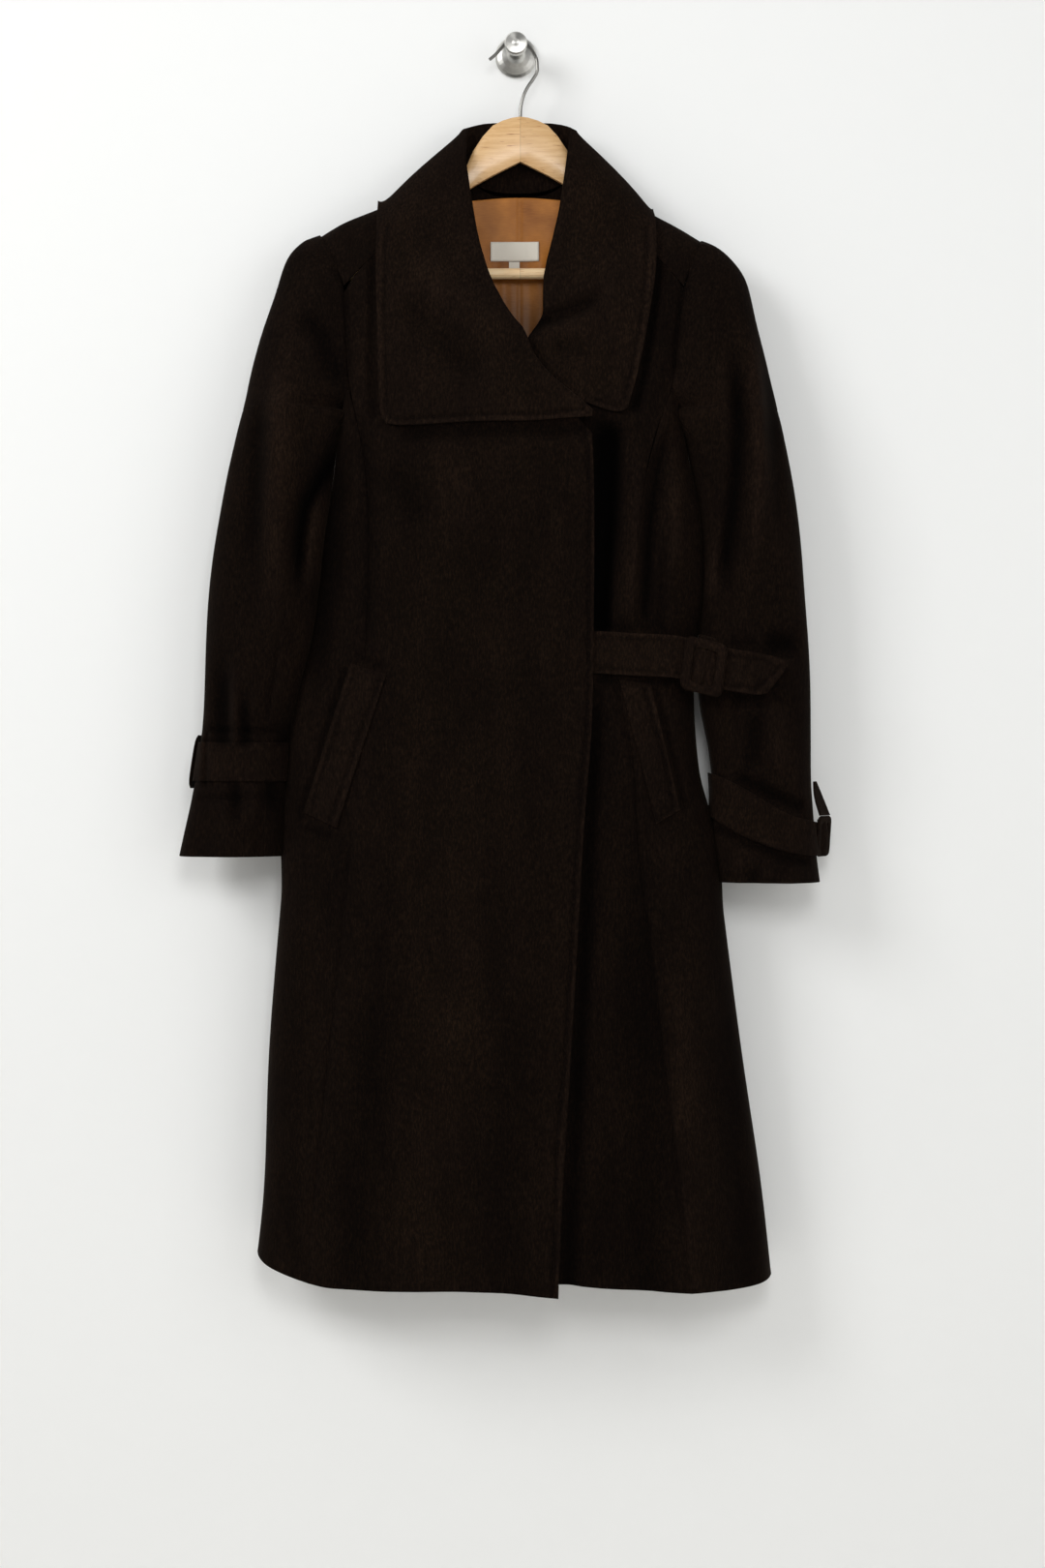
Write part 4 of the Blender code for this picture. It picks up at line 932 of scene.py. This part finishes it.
@dataclass
class CuffEnd:
    """The left strap's slider, turned a little to the front, and the strap where it comes up through it."""

    finish: bpy.types.Material
    middle: Place = (309.0, 56.0, -803.0)  # x, out and z, mm
    size: Point = (27.0, 34.0)
    crown: float = 5.5
    flatter: float = 0.35  # share of the crown that is lost at the strap's edges
    turn: float = 0.5  # how far the slider leans in for each millimetre out
    # painted light: the slider and the strap in it are painted lighter as a whole
    nap: float = 2.0

    def lean(self, bm: bmesh.types.BMesh) -> None:
        """Turns a piece to the front.

        Args:
            bm: the piece, which is changed.
        """
        for point in bm.verts:
            point.co.x += self.turn * (point.co.y + self.middle[1] * MM)

    def build(self) -> None:
        """Makes the slider."""
        cage = cage_of("cuff_slider_left")
        self.lean(cage)
        covered("cuff_slider_left", cage, self.finish, self.nap)

    def through_slider(self, u: float, v: float) -> Place:
        """Gives the strap's place in the slider, for a place on its patch."""
        bulge = self.crown * (1 - ease(abs(2 * u))) * (1 - self.flatter * (2 * v)**2)
        return (self.middle[0] + bulge - self.turn * u * self.size[0], -self.middle[1] - u * self.size[0],
                self.middle[2] + v * self.size[1])

    def dress(self) -> None:
        """Fills the slider with the strap."""
        puffed("strap_through_slider", 20, self.through_slider, self.finish, self.nap)


@dataclass(frozen=True)
class Lamp:
    """A soft square light."""

    name: str
    place: Place  # m
    aim: Place  # m
    size: float  # m
    power: float  # W

    def hang(self) -> None:
        """Puts it in the scene."""
        lamp = bpy.data.lights.new(self.name, "AREA")
        lamp.shape = "SQUARE"
        lamp.size = self.size
        lamp.energy = self.power
        holder = bpy.data.objects.new(self.name, lamp)
        holder.location = self.place
        holder.rotation_euler = (Vector(self.aim) - Vector(self.place)).to_track_quat("-Z", "Y").to_euler()
        bpy.context.scene.collection.objects.link(holder)


@dataclass
class Studio:
    """The pale wall, the floor, the soft lights and the camera."""

    lamps: tuple[Lamp, ...]
    eye: Place = (0.0067, -2.350, -0.7505)
    lens: float = 52.22
    wall_half: float = 3.2
    wall_y: float = 0.0012  # the wall stands clear of the knob by so much
    floor_half: float = 6.0
    floor_z: float = -1.75
    sky: float = 0.41

    def plaster(self) -> bpy.types.Material:
        """Makes the matt white wall paint, which lets light and looks through from behind.

        Returns:
            The wall's material.
        """
        n = Nodes("matt_wall_paint")
        n.shade({"Base Color": linear("f0f1f0"), "Roughness": 0.9})
        behind = n.add("NewGeometry", out="Backfacing")
        shadow = n.add("LightPath", out="Is Shadow Ray")
        clear = n.add("BsdfTransparent")
        through = n.add("Math", {"operation": "MAXIMUM", 0: behind, 1: shadow})
        both = n.add("MixShader", {0: through, 1: n.shader.outputs[0], 2: clear})
        n.fill(n.tree.nodes["Material Output"], {"Surface": both})
        return n.material

    def plane(self, name: str, matrix: Matrix, material: bpy.types.Material) -> None:
        """Lays a stage plane.

        Args:
            name: its name.
            matrix: its place, turn and half size.
            material: its finish.
        """
        bm = bmesh.new()
        bmesh.ops.create_grid(bm, x_segments=1, y_segments=1, size=1.0, matrix=matrix)
        finished(bm, name, material, rides=False)

    def camera(self) -> None:
        """Sets the camera square to the wall, as the photograph was taken."""
        eye = bpy.data.cameras.new("camera")
        eye.sensor_fit = "AUTO"
        eye.sensor_width = 36
        eye.lens = self.lens
        holder = bpy.data.objects.new("camera", eye)
        holder.location = self.eye
        holder.rotation_euler = (math.radians(90), 0, 0)
        bpy.context.scene.collection.objects.link(holder)
        bpy.context.scene.camera = holder

    def build(self) -> None:
        """Sets it all up."""
        half, wide = self.wall_half, self.floor_half
        wall = Matrix.Translation((0, self.wall_y, self.floor_z + half)) @ Matrix.Rotation(math.radians(90), 4, "X")
        self.plane("wall", wall @ Matrix.Diagonal((half, half, 1, 1)), self.plaster())
        ground = Matrix.Translation((0, 0, self.floor_z)) @ Matrix.Diagonal((wide, wide, 1, 1))
        paint = Nodes("matt_floor_paint").shade({"Base Color": linear("e4e1dc"), "Roughness": 0.75})
        self.plane("floor", ground, paint)
        for lamp in self.lamps:
            lamp.hang()
        world = bpy.data.worlds.new("studio")
        world.use_nodes = True
        sky = world.node_tree.nodes["Background"]
        sky.inputs["Color"].default_value = linear("ffffff")
        sky.inputs["Strength"].default_value = self.sky
        bpy.context.scene.world = world
        bpy.context.scene.view_settings.view_transform = "Standard"
        self.camera()


# ------------------------------------------------------------------------------------------------------- this coat

# Seams that the cloth dips into.
PRINCESS_RIGHT = ((-165, -369), (-154.5, -398), (-147, -441), (-145.5, -513), (-147, -604), (-149, -629))
PRINCESS_RIGHT_LOW = ((-163, -800), (-167, -840), (-180, -977), (-196.5, -1140), (-205, -1205))
PRINCESS_LEFT = ((156, -389), (143.6, -428), (133, -495), (129, -573), (129, -600))
PRINCESS_LEFT_LOW = ((98, -645), (117, -727), (121, -798), (138, -969), (165, -1192), (169, -1240))
ARMHOLE_RIGHT = ((-185, -226), (-171.5, -253), (-169, -274), (-167, -321), (-165, -352))
ARMHOLE_LEFT = ((176, -232), (168, -250), (164.7, -274), (160, -309), (157.7, -346))

BODY_FOLDS = (
    Fold(ARMHOLE_RIGHT, -1.7, 5, QUICK), Fold(ARMHOLE_LEFT, -1.7, 5, QUICK),
    # The cloth dips beside the edges that lie on it, the collar's, the belt's and the welts', and the dips' painted
    # shade stands for the shadows of these edges.
    Fold(((-125, -405), (-72, -404), (-20, -402), (40, -401), (70, -399)), -3.0, 13, (0.1, 0.02)),
    Fold(((-143, -215), (-143, -330), (-142, -392)), -2.6, 8, (0.1, 0.05)),
    Fold(((143, -213), (140, -255), (132, -318), (126, -350), (117, -384)), -3.4, 9, (0.1, 0.05)),
    Fold(((82, -646), (157, -651)), -2.5, 8, (0.05, 0.1)), Fold(((82, -594), (157, -597)), -2.2, 6, (0.05, 0.1)),
    Fold(((-168, -632), (-192, -710), (-216, -787)), -2.6, 7, (0.05, 0.05)),
    Fold(((-211, -793), (-182, -802)), -2.4, 7, QUICK), Fold(((-163, -622), (-130, -635)), -2.0, 6, QUICK),
    Fold(((139, -651), (159, -729), (168, -779)), -2.2, 6, (0.05, 0.05)),
    # The princess seams, and the cloth that draws towards them.
    Fold(PRINCESS_RIGHT, -1.4, 16), Fold(PRINCESS_RIGHT, -1.1, 4.5, QUICK),
    Fold(PRINCESS_RIGHT_LOW, -0.9, 5, QUICK), Fold(PRINCESS_LEFT_LOW, -1.1, 4.5, (0.02, 0.0)),
    Fold(((-176, -395), (-182, -511), (-194, -600), (-206, -680)), -3.5, 24),
    Fold(PRINCESS_LEFT, -3.2, 15, (0.15, 0.1)), Fold(PRINCESS_LEFT, -1.2, 4.5, QUICK),
    Fold(((120, -390), (117, -511), (113, -590)), 2.6, 15, (0.3, 0.1)),
    Fold(((159, -425), (163, -502), (160, -549)), 2.2, 14),
    Fold(((150, -492), (146.5, -549), (143.6, -600)), -2.2, 9, (0.4, 0.1)),
    # Soft breaks at the right chest.
    Fold(((-133, -433), (-104.6, -469), (-93, -498.5)), -2.2, 24),
    Fold(((-90, -400), (-60, -452), (-40, -520)), 1.6, 34),
    # Two faint creases across the skirt, and its long folds down to the hem.
    Fold(((-98, -975), (20, -967), (60, -970)), -0.5, 7, (0.4, 0.2)),
    Fold(((-221, -1040), (-50, -1052), (48, -1050)), -0.6, 7, (0.3, 0.1)),
    Fold(((-40, -690), (-62, -900), (-95, -1235)), 2.0, 46, (0.5, 0.0)),
    Fold(((-118, -830), (-138, -1000), (-158, -1240)), -2.4, 34, (0.5, 0.0)),
    Fold(((5, -840), (2, -1020), (-8, -1240)), -1.6, 34, (0.5, 0.0)),
    Fold(((198, -837), (214, -1030), (227, -1240)), -2.6, 26, (0.4, 0.0)),
    Fold(((160, -884), (170, -1050), (179, -1240)), 2.0, 28, (0.4, 0.0)),
    Fold(((120, -700), (124, -900), (132, -1240)), -1.8, 30, (0.4, 0.0)),
)
# The under front falls away behind the outer front's edge, above and below the belt, and the fall's painted shade
# darkens it there as that edge's shadow.
LEFT_FRONT_FOLDS = (
    Fold(((95, -383), (92, -467), (86, -549), (83, -612)), -13, 22, (0.12, 0.12), lean=-0.25, soft=0.8),
    Fold(((78, -650), (71, -856), (60, -1075), (52, -1250)), -4.0, 15, (0.08, 0.0)),
)
RIGHT_SLEEVE_FOLDS = (
    Fold(ARMHOLE_RIGHT, -1.7, 5, QUICK),
    # The sleeve dips beside the strap, which stands up at its keeper, and the dips' painted shade stands for the
    # strap's shadow.
    Fold(((-318, -696), (-232, -698)), -2.0, 6, (0.05, 0.05)), Fold(((-318, -764), (-234, -764)), -1.6, 8, (0.05, 0.2)),
    Fold(((-308, -700), (-309, -750)), -1.6, 3.5, WHOLE), Fold(((-314, -703), (-315, -747)), 1.6, 5, WHOLE),
    # The sleeve's own fall, from the shoulder down.
    Fold(((-229, -300), (-233, -456), (-233, -529), (-241, -625)), 4.0, 26),
    Fold(((-252, -357), (-258, -450), (-262, -547)), -2.6, 17),
    Fold(((-219, -274), (-193, -306), (-182, -336), (-167, -365)), -3.2, 20),
    Fold(((-176, -402), (-191, -438), (-211, -474), (-217, -507), (-217, -580)), -7.5, 13, (0.2, 0.35), soft=0.5),
    Fold(((-184, -462), (-197, -500), (-204, -562)), 3.0, 15),
    Fold(((-234, -605), (-238.5, -638), (-247, -690)), -0.9, 4, QUICK),
    # Gathers above and below the strap.
    Fold(((-268, -640), (-268, -709)), -3.8, 10, (0.6, 0.0)),
    Fold(((-292, -600), (-292, -706)), -4.2, 17, (0.6, 0.0)),
    Fold(((-279, -620), (-279, -707)), 2.6, 9, (0.6, 0.0)),
    Fold(((-221, -683), (-234, -709)), -2.8, 9, (0.4, 0.0)),
    Fold(((-278, -755), (-278, -802)), -3.2, 10, (0.0, 0.7)),
    Fold(((-244, -755), (-237, -792)), -3.2, 11, (0.0, 0.7)),
    Fold(((-260, -755), (-259, -800)), 1.8, 9, (0.0, 0.7)),
)
LEFT_SLEEVE_FOLDS = (
    Fold(ARMHOLE_LEFT, -1.7, 5, QUICK),
    # The sleeve dips beside the strap and beside the belt's tip, and the dips' painted shade stands for their shadows.
    Fold(((198, -793), (230, -809), (262, -823), (296, -830)), -3.0, 8, (0.05, 0.1)),
    Fold(((212, -667), (250, -671)), -2.6, 8, (0.05, 0.2)), Fold(((212, -609), (242, -612)), -2.0, 6, (0.05, 0.2)),
    Fold(((217, -299), (220, -357), (222, -395), (217, -466), (211, -519), (202.5, -585)), -5.0, 13, soft=0.8),
    Fold(((234, -285), (240, -359), (242, -431), (238, -491), (233, -549)), 3.2, 12),
    Fold(((248, -300), (258, -400), (262, -520)), -1.6, 12),
    Fold(((253, -322), (257, -375), (255, -430)), -2.2, 14),
    Fold(((240, -610), (288, -612)), -4.5, 20, (0.35, 0.3)),
    Fold(((238, -672), (234, -746)), -3.2, 14),
    Fold(((256, -664), (262, -741)), 2.2, 16),
    Fold(((198.6, -500), (192, -572)), 2.5, 12),
    Fold(((212, -738), (250, -758), (290, -777)), -4.0, 12, (0.2, 0.1)),
    Fold(((232, -830), (240, -870)), -2.5, 12),
    Fold(((268, -838), (272, -880)), 2.0, 14),
)
COLLAR_FOLDS = (
    Fold(((-119, -254), (-61, -327), (-18, -346)), -2.6, 30),
    Fold(((-107, -218), (-60, -265), (-3, -313)), 2.4, 26),
    Fold(((8.6, -305), (27.7, -290), (52.5, -282), (71, -273), (93.6, -255)), -5.5, 13, (0.1, 0.3), lean=0.3, soft=0.5),
    Fold(((14, -322), (35, -305), (60, -297), (90, -280)), 2.0, 16, (0.2, 0.4)),
    Fold(((35, -315), (77, -323)), -2.0, 18),
    Fold(((104, -205), (92, -270), (82, -345)), 2.2, 42),
)
BACK_FOLDS = (
    Fold(((-150, -330), (-120, -480), (-90, -600)), -3.0, 40),
    Fold(((150, -330), (120, -480), (95, -600)), -3.0, 40),
    Fold(((-60, -640), (-90, -900), (-130, -1245)), 3.0, 55, (0.4, 0.0)),
    Fold(((60, -640), (85, -900), (120, -1245)), 3.0, 55, (0.4, 0.0)),
    Fold(((0, -180), (0, -600), (0, -1245)), -0.9, 5, (0.02, 0.0)),
)

# The side panels and the back are drawn out until they touch the sleeves beside them.
SIDES = ("front_right_side", "front_left_side", "back", "front_right_centre", "front_left_centre")
BODY_PULLS = (
    *(Pull(SIDES, (x, 50, z), (by, 0, 0), reach) for x, z, by, reach in (
        (-196, -570, -6, 75), (-210, -650, -6, 75), (-224, -730, -6, 75), (-236, -800, -5, 70), (188, -560, 5, 60),
        (176, -480, 4, 60), (-190, -500, -5, 55), (196, -810, 6, 75))),
    Pull(("collar",), (38, 80, -312), (-20, 0, 0), 36),
)
SLEEVES = ("sleeve_right_upper", "sleeve_right_under", "sleeve_left_upper", "sleeve_left_under")
# The sleeves are drawn in at the armpits and at the left cuff, which lies against the skirt.
SLEEVE_PULLS = (
    Pull(SLEEVES, (-183, 75, -368), (8, 0, 0), 46),
    Pull(SLEEVES, (172, 75, -368), (-9, 0, 0), 46),
    Pull(SLEEVES + ("cuff_strap_left",), (206, 50, -700), (-6, 0, 0), 70),
    Pull(SLEEVES + ("cuff_strap_left",), (212, 50, -820), (-6, 0, 0), 105),
)
LINING_FOLDS = (
    Fold(((3.7, -150), (3.7, -335)), -1.0, 3.5, WHOLE, soft=0.4),
    Fold(((-38, -170), (-30, -250), (-20, -335)), 2.0, 16),
    Fold(((-14, -200), (-10, -335)), 1.6, 10),
    Fold(((22, -180), (26, -260), (22, -335)), 2.2, 13),
    Fold(((48, -170), (40, -250), (30, -335)), -1.6, 12),
)
LINING_PULLS = (Pull(("lining_back",), (3, 21, -150), (0, 0, 6), 90),)

# The last number of some cuts paints the whole piece lighter or darker: painted light on the belt, welts, straps,
# collar and loop that stand out, painted shade on the under front and the right side panel.
BODY_CUTS = (
    Cut("front_right_centre", (0.29, 1.12), 0.233, ("hanger", "front_left_centre")),
    Cut("front_left_centre", (0.22, 1.12), 0.147, ("hanger",), own=LEFT_FRONT_FOLDS, nap=-1.5),
    Cut("front_right_side", (0.12, 0.90), 0.0687, ("back",), nap=-0.5),
    Cut("front_left_side", (0.14, 0.90), 0.0836, ("back",)),
    Cut("pocket_welt_right", (0.17, 0.045), 0.0062, ("front_right_centre",), nap=2.0),
    Cut("pocket_welt_left", (0.16, 0.036), 0.0040, ("front_left_centre",), nap=1.5),
    Cut("belt", (0.21, 0.06), 0.0084, ("front_left_centre", "front_left_side"), nap=3.5),
)
BACK_CUTS = (Cut("back", (0.56, 1.16), 0.4855, ("hanger",), levels=2),)
COLLAR_CUTS = (Cut("collar", (0.78, 0.24), 0.108, ("front_right_centre", "front_left_centre", "back"), nap=2.3),)
RIGHT_SLEEVE_CUTS = (
    Cut("sleeve_right_upper", (0.28, 0.66), 0.122, ("back", "front_right_centre")),
    Cut("sleeve_right_under", (0.12, 0.50), 0.044, ("sleeve_right_upper",)),
    Cut("cuff_strap_right", (0.17, 0.048), 0.0068, ("sleeve_right_upper",), nap=2.5),
    Cut("cuff_keeper_right", (0.055, 0.035), 0.0015, ("cuff_strap_right",), nap=2.5),
)
LEFT_SLEEVE_CUTS = (
    Cut("sleeve_left_upper", (0.28, 0.66), 0.125, ("back", "front_left_centre")),
    Cut("sleeve_left_under", (0.12, 0.50), 0.046, ("sleeve_left_upper",)),
    Cut("cuff_strap_left", (0.20, 0.048), 0.0080, ("sleeve_left_upper",), nap=2.5),
    Cut("cuff_end_left", (0.04, 0.022), 0.0007, ("sleeve_left_upper",), nap=2.0),
)
LINING_CUTS = (Cut("lining_back", (0.17, 0.18), 0.0282, ("back",)),)
LABEL_CUTS = (
    Cut("label", (0.0495, 0.0198), 0.00098, ("lining_back",), levels=3, held="laid", edge=1.0),
    Cut("size_tab", (0.011, 0.014), 0.000075, ("label",), levels=3, edge=1.0),
)
LOOP_CUTS = (Cut("belt_loop", (0.0185, 0.12), 0.0021, ("belt",), levels=2, held="folded", edge=0.3, nap=1.5),)

# The rows lie 5 to 6 mm inside the edges that they hold.
ROWS = (
    Row("front_edge_stitches", "front_right_centre",
        ((69.5, -396), (73, -457), (72, -552), (72, -642), (70, -695), (66, -736), (61.4, -798), (56.6, -874),
         (48, -1025), (40.5, -1099), (38.6, -1173), (36, -1248))),
    Row("collar_right_stitches", "collar",
        ((-129, -190), (-131, -210), (-131, -291), (-129, -346), (-128.5, -381), (-125, -388), (-116, -390),
         (-72, -388.5), (-20, -386), (25, -386), (66, -381)), -4.0),
    Row("collar_left_stitches", "collar",
        ((131, -195), (131.5, -217), (128, -252), (126, -277), (119, -318), (114, -346), (107, -371), (101, -375),
         (80, -369))),
    Row("welt_right_stitches", "pocket_welt_right",
        ((-134, -646), (-184, -789), (-206, -783), (-159, -636))),
    Row("welt_left_stitches", "pocket_welt_left",
        ((128, -657), (149, -732), (157, -775), (139, -786), (125, -782))),
    Row("belt_top_stitches", "belt",
        ((82, -604.5), (110, -606.5), (135, -607.5), (158, -609), (209, -621.5), (225, -624.5), (240, -627),
         (259, -634))),
    Row("belt_low_stitches", "belt",
        ((82, -635.5), (110, -637.5), (158, -640), (209, -652), (225, -655), (238, -657), (259, -636)), -4.0),
)

SHOULDER = (-400.0, -400.0)  # the lowest place of the seams round the armholes, right and left
ALONG_SIDES = (-700.0, -640.0)  # how far down the sleeves lie against the side panels, right and left
ARMPIT = -385.0
SEAMS = (
    Seam("front_{}_centre", "front_{}_side"),
    Seam("front_{}_side", "back"),
    Seam("front_{}_centre", "back", (7.0, 10.0), SHOULDER),
    Seam("sleeve_{}_upper", "sleeve_{}_under"),
    Seam("sleeve_{}_upper", "front_{}_centre", (9.0, 11.0), SHOULDER),
    Seam("sleeve_{}_upper", "back", (9.0, 11.0), SHOULDER),
    Seam("sleeve_{}_under", "back", (9.0, 11.0), SHOULDER),
    Seam("sleeve_{}_under", "front_{}_side", (7.0, 7.0), ALONG_SIDES, ARMPIT, edges_only=False, share=0.45),
    Seam("sleeve_{}_upper", "front_{}_side", (6.0, 6.0), ALONG_SIDES, ARMPIT, edges_only=False, share=0.4),
)

LAMPS = (
    Lamp("key", (-1.9, -1.9, 0.75), (0.0, 0.0, -0.6), 1.2, 35),
    Lamp("fill", (1.9, -2.4, -0.3), (0.0, 0.0, -0.7), 1.8, 12),
    Lamp("front", (0.15, -2.5, 0.1), (0.05, 0.0, -0.35), 0.7, 16),
    Lamp("behind", (0.0, 2.6, -0.2), (0.0, 0.0, -0.7), 2.2, 40),
)


def main() -> None:
    """Builds the coat, what it hangs on and the studio, in that order."""
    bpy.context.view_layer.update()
    wool = WoolCoating().make()
    satin_fades = (10.0, 12.0)
    sets = (
        (BODY_CUTS, Drape(BODY_FOLDS, (50.0, 75.0), gain=1.3), wool),
        (BACK_CUTS, Drape(BACK_FOLDS, (20.0, 45.0), towards_wall=True), wool),
        (COLLAR_CUTS, Drape(COLLAR_FOLDS, gain=1.3), wool),
        (RIGHT_SLEEVE_CUTS, Drape(RIGHT_SLEEVE_FOLDS, gain=1.4), wool),
        (LEFT_SLEEVE_CUTS, Drape(LEFT_SLEEVE_FOLDS, gain=1.4), wool),
        (LOOP_CUTS, Drape(), wool),
        (LINING_CUTS, Drape(LINING_FOLDS, satin_fades), SatinLining().make(), LINING_PULLS),
        # The label lies on the lining, and follows its folds apart from the seam down the middle.
        (LABEL_CUTS, Drape(LINING_FOLDS[1:], satin_fades), WovenTape().make()),
    )
    cages = {cut.node: cage_of(cut.node) for cuts, *_ in sets for cut in cuts}
    cuff_end = CuffEnd(wool)
    cuff_end.lean(cages["cuff_end_left"])
    for seam in SEAMS:
        seam.close(cages)
    made: dict[str, bpy.types.Object] = {}
    coat = [Sewn(cages, made, *sewn) for sewn in sets]
    stitching = Stitching(ROWS, SewingThread().make(), made)
    # The bar's beech is a lighter copy of the arms' beech: painted light, as the bar sits deep behind the collar and
    # gets little light.
    hanger = HangerAndKnob(
        LacqueredBeech().make(), LacqueredBeech("lacquered_beech_painted_lighter_bar", "ffe0b0", "f6cb94").make(),
        BrushedSteel("drawn_steel_wire", BrushMark.ALONG, "8d8c88", "6a6965").make(),
        BrushedSteel("turned_brushed_steel", BrushMark.ROUND, "e2e1dc", "b6b5b0").make())
    stiff = [hanger, Buckle(wool), cuff_end]
    for assembly in coat + stiff:
        assembly.build()
    for pull in BODY_PULLS + SLEEVE_PULLS:
        pull.draw(made)
    for assembly in [*coat, stitching, *stiff]:
        assembly.dress()
    Studio(LAMPS).build()


if __name__ == "__main__":
    logging.basicConfig(level=logging.INFO, format="%(name)s: %(message)s")
    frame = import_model()
    main()
